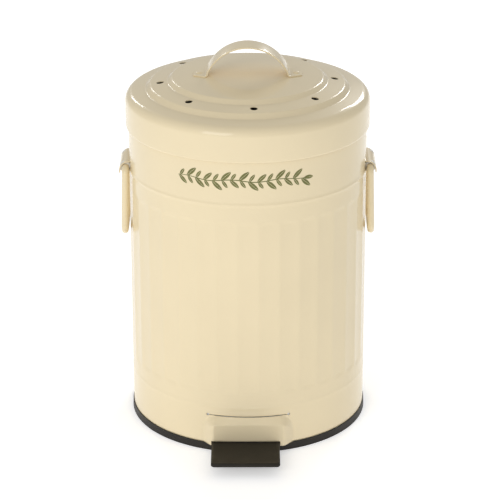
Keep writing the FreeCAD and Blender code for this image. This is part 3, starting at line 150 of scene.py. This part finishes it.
def new_material(name, colour, rough, metallic=0.0, coat=0.0, spread=0.04, scale=60.0, bump=0.02,
                 stretch=(1, 1, 1), rough_spread=0.06, coat_rough=0.1, specular=0.5):
    """A procedural surface: mottled colour, uneven gloss and a fine relief from two noises."""
    material = bpy.data.materials.new(name)
    material.use_nodes = True
    tree = material.node_tree
    shader = tree.nodes["Principled BSDF"]
    shader.inputs["Metallic"].default_value = metallic
    shader.inputs["Coat Weight"].default_value = coat
    shader.inputs["Coat Roughness"].default_value = coat_rough
    shader.inputs["Specular IOR Level"].default_value = specular
    place = tree.nodes.new("ShaderNodeTexCoord")
    mapping = tree.nodes.new("ShaderNodeMapping")
    mapping.inputs["Scale"].default_value = stretch
    tree.links.new(place.outputs["Object"], mapping.inputs["Vector"])
    coarse = tree.nodes.new("ShaderNodeTexNoise")
    coarse.inputs["Scale"].default_value = scale
    coarse.inputs["Detail"].default_value = 4.0
    fine = tree.nodes.new("ShaderNodeTexNoise")
    fine.inputs["Scale"].default_value = scale * 14
    fine.inputs["Detail"].default_value = 3.0
    tree.links.new(mapping.outputs["Vector"], coarse.inputs["Vector"])
    tree.links.new(mapping.outputs["Vector"], fine.inputs["Vector"])
    ramp = tree.nodes.new("ShaderNodeValToRGB")
    dark = [max(0.0, c * (1 - spread)) for c in colour]
    light = [min(1.0, c * (1 + spread)) for c in colour]
    ramp.color_ramp.elements[0].position = 0.3
    ramp.color_ramp.elements[0].color = (*dark, 1)
    ramp.color_ramp.elements[1].position = 0.7
    ramp.color_ramp.elements[1].color = (*light, 1)
    tree.links.new(coarse.outputs["Fac"], ramp.inputs["Fac"])
    tree.links.new(ramp.outputs["Color"], shader.inputs["Base Color"])
    gloss = tree.nodes.new("ShaderNodeMapRange")
    gloss.inputs["To Min"].default_value = max(0.02, rough - rough_spread)
    gloss.inputs["To Max"].default_value = min(1.0, rough + rough_spread)
    tree.links.new(coarse.outputs["Fac"], gloss.inputs["Value"])
    tree.links.new(gloss.outputs["Result"], shader.inputs["Roughness"])
    relief = tree.nodes.new("ShaderNodeBump")
    relief.inputs["Strength"].default_value = bump
    relief.inputs["Distance"].default_value = 0.0005
    tree.links.new(fine.outputs["Fac"], relief.inputs["Height"])
    tree.links.new(relief.outputs["Normal"], shader.inputs["Normal"])
    return material


def make_materials(sizes):
    return {
        "cream_enamel": new_material("cream_enamel", sizes.enamel[:], 0.30, coat=0.55, spread=0.012, scale=24,
                                     bump=0.015, rough_spread=0.03, coat_rough=0.02, specular=0.12),
        "black_plastic": new_material("black_plastic", (0.013, 0.010, 0.006), 0.50, spread=0.18, scale=90,
                                      bump=0.25, rough_spread=0.1, specular=0.4),
        "black_rubber": new_material("black_rubber", (0.012, 0.009, 0.004), 0.56, spread=0.25, scale=70,
                                     bump=0.4, rough_spread=0.1, specular=0.35),
        "black_steel": new_material("black_steel", (0.012, 0.010, 0.008), 0.5, spread=0.2, scale=80, bump=0.2,
                                    rough_spread=0.08, specular=0.4),
        "zinc_steel": new_material("zinc_steel", (0.56, 0.57, 0.57), 0.36, metallic=1.0, spread=0.10,
                                   scale=50, bump=0.12, stretch=(1, 6, 1), rough_spread=0.1),
        "nylon": new_material("nylon", (0.74, 0.72, 0.66), 0.42, spread=0.04, scale=120, bump=0.1),
        "charcoal": new_material("charcoal", (0.018, 0.018, 0.019), 0.95, spread=0.7, scale=260, bump=1.0,
                                 rough_spread=0.04, specular=0.1),
        "bucket_plastic": new_material("bucket_plastic", (0.17, 0.18, 0.15), 0.45, spread=0.05, scale=80,
                                       bump=0.15),
        "print": new_material("olive_print", sizes.ink[:], 0.42, spread=0.10, scale=180, bump=0.05,
                              rough_spread=0.06),
    }


# --- mesh helpers ---


def new_piece(name, vertices, faces, material, body, nodes=(), sharp=40.0):
    mesh = bpy.data.meshes.new(name)
    mesh.from_pydata([tuple(v) for v in vertices], [], faces)
    mesh.validate()
    return finish_piece(name, mesh, material, body, nodes, sharp)


def finish_piece(name, mesh, material, body, nodes=(), sharp=40.0):
    bm = bmesh.new()
    bm.from_mesh(mesh)
    bmesh.ops.remove_doubles(bm, verts=bm.verts, dist=1e-6)
    bmesh.ops.recalc_face_normals(bm, faces=bm.faces)
    bm.to_mesh(mesh)
    bm.free()
    mesh.shade_smooth()
    mesh.set_sharp_from_angle(angle=math.radians(sharp))
    piece = bpy.data.objects.new(name, mesh)
    bpy.context.scene.collection.objects.link(piece)
    mesh.materials.append(material)
    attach(piece, body)
    if nodes:
        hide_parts(*nodes)
    return piece


def grid_faces(rows, columns, closed=False, keep=None):
    """Quads of a grid of rows times columns points, joined round its columns if closed."""
    faces = []
    for j in range(rows - 1):
        for i in range(columns if closed else columns - 1):
            k = (i + 1) % columns
            if keep is None or keep(j, i):
                faces.append((j * columns + i, j * columns + k, (j + 1) * columns + k, (j + 1) * columns + i))
    return faces


def lathe(profile, segments, centre=(0, 0)):
    """Points and faces of a profile of (radius, height) turned round a vertical axis."""
    angles = np.linspace(0, 2 * math.pi, segments, endpoint=False)
    points = [
        (centre[0] + r * math.sin(a), centre[1] - r * math.cos(a), z) for r, z in profile for a in angles
    ]
    return points, grid_faces(len(profile), segments, closed=True)


def softened(corners, radii, steps=7):
    """The polyline with each inner corner replaced by an arc of its radius."""
    points = [np.array(corners[0], float)]
    for before, corner, after, radius in zip(corners, corners[1:], corners[2:], radii):
        a, b, c = (np.array(p, float) for p in (before, corner, after))
        u, v = (a - b) / np.linalg.norm(a - b), (c - b) / np.linalg.norm(c - b)
        half = math.acos(max(-1, min(1, float(u @ v)))) / 2
        reach = min(radius / math.tan(half), 0.49 * np.linalg.norm(a - b), 0.49 * np.linalg.norm(c - b))
        start, end = b + u * reach, b + v * reach
        middle = b + (u + v) / np.linalg.norm(u + v) * reach / math.cos(half)
        true = reach * math.tan(half)
        for t in np.linspace(0, 1, steps):
            spoke = start * (1 - t) + end * t - middle
            points.append(middle + spoke / np.linalg.norm(spoke) * true)
    points.append(np.array(corners[-1], float))
    return points


def add_modifier(piece, kind, **settings):
    modifier = piece.modifiers.new(kind.lower(), kind)
    for key, value in settings.items():
        setattr(modifier, key, value)
    return modifier


def thicken(piece, thickness, bevel=0.0):
    add_modifier(piece, "SOLIDIFY", thickness=thickness, offset=-1.0, use_even_offset=True)
    if bevel:
        corner = math.radians(50)
        add_modifier(piece, "BEVEL", width=bevel, segments=2, limit_method="ANGLE", angle_limit=corner)
        add_modifier(piece, "WEIGHTED_NORMAL", keep_sharp=False)


def swept(name, path, radius, material, body, nodes=()):
    """A round rod along a path of points."""
    curve = bpy.data.curves.new(name, "CURVE")
    curve.dimensions = "3D"
    curve.bevel_depth = radius
    curve.bevel_resolution = 8
    curve.use_fill_caps = True
    line = curve.splines.new("POLY")
    line.points.add(len(path) - 1)
    for point, place in zip(line.points, path):
        point.co = (*place, 1)
    holder = bpy.data.objects.new(name, curve)
    bpy.context.scene.collection.objects.link(holder)
    mesh = bpy.data.meshes.new_from_object(holder.evaluated_get(bpy.context.evaluated_depsgraph_get()))
    bpy.data.objects.remove(holder)
    return finish_piece(name, mesh, material, body, nodes, 60.0)


def smooth_step(t):
    t = np.clip(t, 0, 1)
    return t * t * (3 - 2 * t)


# --- the wall ---


def wall_columns(sizes):
    """Angles round the wall from the front: close together at the pressing and even on the flutes."""
    half = math.degrees(math.asin((sizes.slit_half + 0.006) / sizes.body_radius))
    slot = math.degrees(math.asin(SLOT_EDGE / sizes.body_radius))
    fine = np.arange(-half, half + 0.01, 0.25)
    step = 360 / sizes.flute_count / 16
    side = np.arange(half + step, 180 - slot - 0.2, step)
    rear = np.array([180 - slot, 180 + slot])
    return np.radians(np.concatenate([fine, side, rear, 360 - side[::-1]]))


def wall_rows(sizes):
    low, slit = sizes.wall_low, sizes.slit_level
    spans = [
        (low, sizes.doorway_top, 4), (sizes.doorway_top, 0.022, 9), (0.022, slit - SLIT_EDGE, 30),
        (slit - SLIT_EDGE, slit + SLIT_EDGE, 3), (slit + SLIT_EDGE, 0.0385, 8), (0.0385, 0.0435, 14),
        (0.0435, sizes.flute_low - 0.001, 5), (sizes.flute_low - 0.001, sizes.flute_low + 0.006, 12),
        (sizes.flute_low + 0.006, sizes.flute_high - 0.006, 20),
        (sizes.flute_high - 0.006, sizes.flute_high + 0.001, 12), (sizes.flute_high + 0.001, 0.2222, 5),
        (0.2222, 0.2278, 16), (0.2278, SLOT_LOW, 7), (SLOT_LOW, SLOT_HIGH, 8),
        (SLOT_HIGH, sizes.rim_top - HEM, 6),
    ]
    return np.unique(np.concatenate([np.linspace(a, b, n) for a, b, n in spans]).round(6))


def wall_radius(sizes, angle, z):
    """Outer radius of the wall at an angle from the front and a height."""
    radius = np.full(np.broadcast(angle, z).shape, sizes.body_radius)
    for level, width, share in ((sizes.low_bead, 0.0022, 0.45), (sizes.high_bead, 0.0019, 0.9)):
        radius = radius + share * sizes.bead_height * np.exp(-(((z - level) / width) ** 2) * 1.6)
    pitch = 2 * math.pi / sizes.flute_count
    turn = (angle + pitch / 2) % pitch - pitch / 2
    hollow = np.clip(1 - (turn / (pitch * 0.46)) ** 2, 0, 1)
    ends = smooth_step((z - sizes.flute_low) / 0.005) * smooth_step((sizes.flute_high - z) / 0.005)
    radius = radius - sizes.flute_depth * hollow * ends
    return radius


def pressing(sizes, x, z):
    """How far the pressing over the pedal stands out of the wall, towards the front."""
    flat = sizes.fold_reach - np.sqrt(np.maximum(sizes.body_radius**2 - x**2, 1e-9))
    lip = sizes.slit_level - SLIT_EDGE
    under = z < lip
    end = np.clip((np.abs(x) - 0.027) / 0.011, 0, 1)
    z = np.where(z < lip, z + 0.009 * end**2 * smooth_step((z - sizes.doorway_top) / 0.008), z)
    z = np.where(under, np.minimum(z, lip - 1e-6), z)
    ledge = np.clip((lip - z) / (lip - sizes.fold_level), 0, 2)
    face = 1 - 0.12 * (sizes.fold_level - z) / (sizes.fold_level - sizes.doorway_top)
    face = np.where(z > sizes.fold_level, 1.0, face)
    soft = 0.10
    blend = np.clip(0.5 + 0.5 * (face - ledge) / soft, 0, 1)
    shape = face * (1 - blend) + ledge * blend - soft * blend * (1 - blend)
    shape = np.where(z >= lip, 0.0, np.clip(shape, 0, 1))
    return flat * shape * smooth_step((0.039 - np.abs(x)) / 0.010)


class BIN_OT_wall(Operator):
    """Build the fluted wall with its beads, its pressing over the pedal and its rolled rim"""

    bl_idname = "bin.wall"
    bl_label = "Wall"

    def execute(self, context):
        sizes = context.scene.bin_settings
        angles, levels = wall_columns(sizes), wall_rows(sizes)
        turn, z = np.meshgrid(angles, levels)
        radius = wall_radius(sizes, turn, z)
        x, y = radius * np.sin(turn), -radius * np.cos(turn)
        out = np.where(np.cos(turn) > 0, pressing(sizes, x, z), 0.0)
        y = y - out
        rows = [np.stack([x, y, z], axis=-1)]
        for t in np.linspace(0, math.pi, 9)[1:]:
            r = sizes.body_radius - HEM + HEM * math.cos(t)
            level = np.full_like(angles, sizes.rim_top - HEM + HEM * math.sin(t))
            rows.append(np.stack([r * np.sin(angles), -r * np.cos(angles), level], -1)[None])
        points = np.concatenate(rows).reshape(-1, 3)
        columns = len(angles)

        def keep(j, i):
            k = (i + 1) % columns
            if j + 1 >= len(levels):
                return True
            middle = (levels[j] + levels[j + 1]) / 2
            angle = angles[i] + ((angles[k] - angles[i]) % (2 * math.pi)) / 2
            across, front = sizes.body_radius * math.sin(angle), math.cos(angle) > 0
            if not front:
                return not (abs(across) < SLOT_HALF and SLOT_LOW < middle < SLOT_HIGH)
            if abs(middle - sizes.slit_level) < SLIT_EDGE and abs(across) < sizes.slit_half:
                return False
            if math.hypot(abs(across) - sizes.slit_half, middle - sizes.slit_level) < SLIT_HOLE:
                return False
            return not (middle < sizes.doorway_top and DOORWAY_LEFT < across < DOORWAY_RIGHT)

        faces = grid_faces(len(points) // columns, columns, closed=True, keep=keep)
        wall = new_piece("wall", points, faces, MATERIALS["cream_enamel"], "bin", ["body_shell"],
                         45.0)
        thicken(wall, -sizes.sheet if wall_faces_in(wall) else sizes.sheet)
        return {"FINISHED"}


def wall_faces_in(piece):
    """True if the first face's normal points to the vertical axis."""
    face = piece.data.polygons[0]
    return face.normal.x * face.center.x + face.normal.y * face.center.y < 0


# --- the lid ---


class BIN_OT_lid(Operator):
    """Build the stepped lid with its skirt and vent holes"""

    bl_idname = "bin.lid"
    bl_label = "Lid"

    def execute(self, context):
        sizes = context.scene.bin_settings
        edge = sizes.lid_radius
        low = sizes.skirt_low
        corners = [
            (edge - 0.0005, low), (edge, low + 0.0012), (edge, LID_EDGE), OUTER_FOOT, OUTER_TOP, INNER_FOOT,
            INNER_TOP, (0.030, 0.3062), (0.0001, LID_CROWN),
        ]
        radii = [0.001, 0.0085, 0.0022, 0.0026, 0.0022, 0.0026, 0.2]
        profile = softened(corners, radii, 9)
        points, faces = lathe(profile, 256)
        lid = new_piece("lid", points, faces, MATERIALS["cream_enamel"], "lid", ["lid_shell"])
        add_modifier(lid, "SOLIDIFY", thickness=sizes.sheet, offset=-1.0)
        cutter = self.vent_cutter(sizes)
        holes = add_modifier(lid, "BOOLEAN", operation="DIFFERENCE", solver="EXACT")
        holes.object = cutter
        bpy.context.view_layer.update()
        mesh = bpy.data.meshes.new_from_object(lid.evaluated_get(bpy.context.evaluated_depsgraph_get()))
        lid.modifiers.clear()
        lid.data = mesh
        mesh.shade_smooth()
        mesh.set_sharp_from_angle(angle=math.radians(45))
        bpy.data.objects.remove(cutter)
        return {"FINISHED"}

    def vent_cutter(self, sizes):
        vertices, faces = [], []
        for i in range(VENT_COUNT):
            turn = math.radians(VENT_TURN + 360 / VENT_COUNT * i)
            centre = (sizes.vent_circle * math.sin(turn), -sizes.vent_circle * math.cos(turn))
            profile = [(0.00001, 0.28), (sizes.vent_radius, 0.28), (sizes.vent_radius, 0.32), (0.00001, 0.32)]
            points, sides = lathe(profile, 28, centre)
            faces += [tuple(k + len(vertices) for k in side) for side in sides]
            vertices += points
        mesh = bpy.data.meshes.new("vent_cutter")
        mesh.from_pydata(vertices, [], faces)
        cutter = bpy.data.objects.new("vent_cutter", mesh)
        bpy.context.scene.collection.objects.link(cutter)
        return cutter


def lid_height(radius):
    """Top of the lid's middle tier at a radius."""
    return LID_CROWN - radius * (LID_CROWN - INNER_TOP[1]) / INNER_TOP[0]


class BIN_OT_lid_handle(Operator):
    """Build the strap handle on the lid with its two domed rivets"""

    bl_idname = "bin.lid_handle"
    bl_label = "Lid handle"

    def execute(self, context):
        sizes = context.scene.bin_settings
        thick = sizes.strap_thick
        half, _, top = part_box("lid_handle")[1]
        rise = top - thick - LID_CROWN
        arch = (ARCH_SPAN**2 + rise**2) / (2 * rise)
        centre = top - thick - arch
        spread = math.asin(min(1.0, 0.0335 / arch))
        turns = np.linspace(-spread, spread, 41)
        curve = [((arch + thick) * math.sin(a), centre + (arch + thick) * math.cos(a)) for a in turns]
        over_lid = thick + 0.0001
        tip_corner = (-half, lid_height(half) + over_lid)
        foot_corner = (-ARCH_FOOT, lid_height(ARCH_FOOT) + over_lid)
        end = [tuple(p) for p in softened([tip_corner, foot_corner, curve[0]], [STRAP_BEND], 7)[:-1]]
        path = end + curve + [(-x, z) for x, z in end[::-1]]
        points = []
        across = np.linspace(-1, 1, 15)
        for x, z in path:
            tip = max(0.0, abs(x) - (half - 0.006)) / 0.006
            width = sizes.strap_half * (0.45 + 0.55 * math.sqrt(max(0.0, 1 - min(1.0, tip) ** 2)))
            crown = 0.0004 if abs(x) < 0.033 else 0.0
            points += [(x, width * t, z - crown * t * t) for t in across]
        faces = grid_faces(len(path), len(across))
        strap = new_piece("lid_handle_strap", points, faces, MATERIALS["cream_enamel"], "lid", ["lid_handle"],
                          60.0)
        up = strap.data.polygons[len(strap.data.polygons) // 2].normal.z > 0
        thicken(strap, thick if up else -thick, 0.00045)
        self.rivets(sizes)
        return {"FINISHED"}

    def rivets(self, sizes):
        vertices, faces = [], []
        for side in (-1, 1):
            base = lid_height(STRAP_RIVET) + sizes.strap_thick
            dome = [(0.0027 * math.cos(t), base + 0.00125 * math.sin(t)) for t in np.linspace(0, 1.55, 8)]
            profile = [(0.0015, base - 0.006), (0.0024, base - 0.006), (0.0024, base - 0.0054),
                       (0.0015, base - 0.0054), (0.0015, base), *dome]
            points, sides = lathe(profile, 28, (side * STRAP_RIVET, 0))
            faces += [tuple(k + len(vertices) for k in side_face) for side_face in sides]
            vertices += points
        new_piece("lid_handle_rivets", vertices, faces, MATERIALS["cream_enamel"], "lid", ["handle_rivets"],
                  50.0)


# --- the drop handles ---


class BIN_OT_drop_handles(Operator):
    """Build both hoods and the rod loops that hang from them"""

    bl_idname = "bin.drop_handles"
    bl_label = "Drop handles"

    def execute(self, context):
        sizes = context.scene.bin_settings
        for side, word in ((-1, "left"), (1, "right")):
            self.hood(sizes, side, word)
            self.loop(sizes, side, word)
        return {"FINISHED"}

    def hood(self, sizes, side, word):
        radius, wall = sizes.hood_radius, sizes.body_radius
        centre = sizes.hood_top - radius
        low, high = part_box(f"handle_hood_{word}")
        stations = np.linspace(-high[1], high[1], 25)
        turns = np.linspace(0, math.radians(84), 21)
        profile = [(wall + radius - 0.0001, low[2]), (wall + radius, centre - 0.0006)]
        profile += [(wall + radius * math.cos(a), centre + radius * math.sin(a)) for a in turns]
        points = [(side * x, y, z) for x, z in profile for y in stations]
        points += [(side * (math.sqrt(wall**2 - y**2) - 0.0002), y, sizes.hood_top) for y in stations]
        faces = grid_faces(len(profile) + 1, len(stations))
        hood = new_piece(f"handle_hood_{word}_sheet", points, faces, MATERIALS["cream_enamel"], "bin",
                         [f"handle_hood_{word}"], 60.0)
        top = max(hood.data.polygons, key=lambda face: face.center.z)
        thicken(hood, 0.0008 if top.normal.z > 0 else -0.0008, 0.0003)

    def pivot(self, sizes):
        return sizes.body_radius + sizes.pivot_out, sizes.pivot_level

    def loop(self, sizes, side, word):
        half, drop, stub = sizes.loop_half, sizes.loop_drop, sizes.stub_end
        pivot_x, pivot_z = self.pivot(sizes)
        corners = [(stub, 0), (half, 0), (half, -drop), (-half, -drop), (-half, 0), (-stub, 0)]
        path = softened(corners, [LOOP_TOP_BEND, LOOP_LOW_BEND, LOOP_LOW_BEND, LOOP_TOP_BEND], 9)
        out, down = math.sin(LOOP_LEAN), math.cos(LOOP_LEAN)
        places = [(side * (pivot_x - z * out), y, pivot_z + z * down) for y, z in path]
        swept(f"drop_handle_{word}_rod", places, sizes.loop_radius, MATERIALS["cream_enamel"],
              f"{word}_handle", [f"drop_handle_{word}"])


# --- the pedal and the foot ring ---


class BIN_OT_pedal_pad(Operator):
    """Build the rubber pad that is pulled over the pedal's blade"""

    bl_idname = "bin.pedal_pad"
    bl_label = "Pedal pad"

    def execute(self, context):
        low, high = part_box("pedal_sleeve")
        left, right = low[0], high[0]
        tip, corner, back = -low[1], PAD_CORNER, PAD_BACK
        outline = []
        for x in np.linspace(right, left, 33):
            outline.append((x, -math.sqrt(back**2 - x**2)))
        for centre, start in ((left + corner, 180), (right - corner, 270)):
            for t in np.linspace(math.radians(start), math.radians(start + 90), 9):
                outline.append((centre + corner * math.cos(t), -(tip - corner) + corner * math.sin(t)))
        # how far each outline is drawn in, and its height over the pad's underside
        layers = [
            (0.0012, 0.0), (0.0005, 0.0002), (0.0, 0.0010), (0.0, PAD_THICK - 0.0010),
            (0.0005, PAD_THICK - 0.0002), (0.0012, PAD_THICK), (0.0024, PAD_THICK),
            (0.0030, PAD_THICK - 0.00018),
        ]
        middle = np.array([(left + right) / 2, -(back + tip) / 2])
        reach = np.array([(right - left) / 2, (tip - back) / 2])
        vertices = []
        for inset, level in layers:
            for x, y in outline:
                px = middle[0] + (x - middle[0]) * (1 - inset / reach[0])
                py = middle[1] + (y - middle[1]) * (1 - inset / reach[1])
                vertices.append((px, py, PAD_UNDER + level + (-py - AXLE_Y) * PAD_SLOPE))
        count = len(outline)
        faces = grid_faces(len(layers), count, closed=True)
        faces.append(tuple(range(count))[::-1])
        faces.append(tuple((len(layers) - 1) * count + k for k in range(count)))
        new_piece("pedal_pad", vertices, faces, MATERIALS["black_rubber"], "pedal", ["pedal_sleeve"],
                  50.0)
        return {"FINISHED"}


# --- the print ---


class BIN_OT_print(Operator):
    """Print a plain sprig of leaves on the band under the rim"""

    bl_idname = "bin.print"
    bl_label = "Leaf print"

    def execute(self, context):
        sizes = context.scene.bin_settings
        middle = (sizes.print_low + sizes.print_high) / 2
        tall = (sizes.print_high - sizes.print_low) / 2
        left, right = sizes.print_left, sizes.print_right
        vertices, faces = [], []

        def strip(centre_line, widths):
            start = len(vertices)
            line = np.array(centre_line)
            along = np.gradient(line, axis=0)
            along /= np.linalg.norm(along, axis=1)[:, None] + 1e-12
            normal = np.stack([-along[:, 1], along[:, 0]], axis=1)
            for point, side, width in zip(line, normal, widths):
                for k in (-1, -0.33, 0.33, 1):
                    u, v = point + side * width * k
                    turn = u / sizes.body_radius
                    radius = sizes.body_radius + 0.00006
                    vertices.append((radius * math.sin(turn), -radius * math.cos(turn), v))
            faces.extend(tuple(start + k for k in face) for face in grid_faces(len(line), 4))

        def stem_height(u):
            return middle + 0.10 * tall * math.sin((u - left) / (right - left) * 6 * math.pi)

        stem = [(u, stem_height(u)) for u in np.linspace(left + 0.002, right - 0.004, 160)]
        strip(stem, [0.00042 * (0.6 + 0.4 * math.sin(math.pi * i / 159)) for i in range(160)])
        count = 15
        for i in range(count):
            u = left + 0.003 + (right - left - 0.014) * i / (count - 1)
            side = 1 if i % 2 else -1
            size = 1.0 if i % 3 else 0.88
            self.leaf(strip, (u, stem_height(u)), math.radians(46) * side, 0.0112 * size, 0.00185 * size)
            if i < count - 1:
                root = (u + 0.0008, stem_height(u))
                self.leaf(strip, root, math.radians(-58) * side, 0.0078 * size, 0.0013)
        self.leaf(strip, (right - 0.0085, stem_height(right - 0.0085)), 0.05, 0.0085, 0.0016)
        piece = new_piece("leaf_print", vertices, faces, MATERIALS["print"], "bin", sharp=80.0)
        return {"FINISHED"}

    def leaf(self, strip, root, angle, reach, half):
        """A pointed leaf in two halves beside a bare midrib."""
        direction = np.array([math.cos(angle), math.sin(angle)])
        across = np.array([-direction[1], direction[0]])
        steps = np.linspace(0, 1, 18)
        bend = 0.12 * reach * math.copysign(1.0, angle)
        for side in (-1, 1):
            line, widths = [], []
            for t in steps:
                fat = half * math.sin(math.pi * min(1.0, t * 0.98 + 0.02)) ** 0.75
                offset = side * (fat * 0.5 + 0.00011)
                line.append(np.array(root) + direction * reach * t + across * (offset - bend * t * t * 0.5))
                widths.append(fat * 0.5)
            strip(line, widths)


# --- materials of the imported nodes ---


class BIN_OT_finish_nodes(Operator):
    """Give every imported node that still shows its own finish"""

    bl_idname = "bin.finish_nodes"
    bl_label = "Finish the packed nodes"

    def execute(self, context):
        slots = {part["node"]: part["material_slot"] for part in frame["record"]["subparts"]}
        for name, node in frame["nodes"].items():
            material = MATERIALS[slots[name]]
            node.data.materials.clear()
            node.data.materials.append(material)
        return {"FINISHED"}


# --- the stage ---


class BIN_OT_stage(Operator):
    """Set the pale floor, the soft lights and the camera"""

    bl_idname = "bin.stage"
    bl_label = "Stage"

    def execute(self, context):
        scene = context.scene
        self.floor()
        world = bpy.data.worlds.new("studio")
        world.use_nodes = True
        world.node_tree.nodes["Background"].inputs["Color"].default_value = (1.0, 1.0, 1.0, 1)
        world.node_tree.nodes["Background"].inputs["Strength"].default_value = 0.50
        scene.world = world
        scene.view_settings.view_transform = "Standard"
        self.light("key", (-1.2, -2.2, 1.15), (0, 0, 0.15), 1.2, 1.2, 18, (1.0, 0.99, 0.97))
        self.light("right_box", (0.75, 1.75, 1.15), (0, 0, 0.28), 0.55, 0.55, 9, (1.0, 1.0, 1.0))
        self.light("left_box", (-0.75, 1.55, 1.05), (0, 0, 0.28), 0.22, 0.5, 2.5, (1.0, 1.0, 1.0))
        camera = bpy.data.objects.new("camera", bpy.data.cameras.new("camera"))
        camera.data.lens = 174.85
        camera.data.sensor_width = 36.0
        camera.data.dof.use_dof = False
        camera.data.clip_end = 20.0
        tilt = Matrix.Rotation(math.radians(67.90), 4, "X")
        roll = Matrix.Rotation(math.radians(-0.116), 4, "Z")
        camera.matrix_world = Matrix.Translation((0.001715, -1.958, 0.940)) @ tilt @ roll
        scene.collection.objects.link(camera)
        scene.camera = camera
        return {"FINISHED"}

    def floor(self):
        bm = bmesh.new()
        bmesh.ops.create_grid(bm, x_segments=8, y_segments=8, size=4.0)
        mesh = bpy.data.meshes.new("floor")
        bm.to_mesh(mesh)
        bm.free()
        floor = bpy.data.objects.new("floor", mesh)
        bpy.context.scene.collection.objects.link(floor)
        material = new_material("pale_floor", (0.96, 0.96, 0.96), 0.9, spread=0.005, scale=6, bump=0.0,
                                specular=0.0)
        shader = material.node_tree.nodes["Principled BSDF"]
        shader.inputs["Emission Color"].default_value = (1, 1, 1, 1)
        shader.inputs["Emission Strength"].default_value = 0.42
        mesh.materials.append(material)

    def light(self, name, place, target, width, height, power, colour):
        data = bpy.data.lights.new(name, "AREA")
        data.shape = "RECTANGLE"
        data.size, data.size_y = width, height
        data.energy = power
        data.color = colour
        lamp = bpy.data.objects.new(name, data)
        lamp.location = place
        lamp.rotation_euler = (Vector(target) - Vector(place)).to_track_quat("-Z", "Y").to_euler()
        bpy.context.scene.collection.objects.link(lamp)


class BIN_PT_builder(Panel):
    """Buttons that build each group of pieces, and the two colours"""

    bl_label = "Compost bin"
    bl_idname = "BIN_PT_builder"
    bl_space_type = "VIEW_3D"
    bl_region_type = "UI"
    bl_category = "Bin"

    def draw(self, context):
        sizes = context.scene.bin_settings
        for step in STEPS:
            self.layout.operator(step.bl_idname)
        self.layout.prop(sizes, "enamel")
        self.layout.prop(sizes, "ink")


STEPS = (
    BIN_OT_finish_nodes,
    BIN_OT_wall,
    BIN_OT_lid,
    BIN_OT_lid_handle,
    BIN_OT_drop_handles,
    BIN_OT_pedal_pad,
    BIN_OT_print,
    BIN_OT_stage,
)
CLASSES = (BinSettings, *STEPS, BIN_PT_builder)
MATERIALS = {}


def register():
    for kind in CLASSES:
        bpy.utils.register_class(kind)
    bpy.types.Scene.bin_settings = PointerProperty(type=BinSettings)


def unregister():
    del bpy.types.Scene.bin_settings
    for kind in reversed(CLASSES):
        bpy.utils.unregister_class(kind)


def main():
    register()
    MATERIALS.update(make_materials(bpy.context.scene.bin_settings))
    bpy.ops.bin.finish_nodes()
    bpy.ops.bin.wall()
    bpy.ops.bin.lid()
    bpy.ops.bin.lid_handle()
    bpy.ops.bin.drop_handles()
    bpy.ops.bin.pedal_pad()
    bpy.ops.bin.print()
    bpy.ops.bin.stage()


if __name__ == "__main__":
    main()
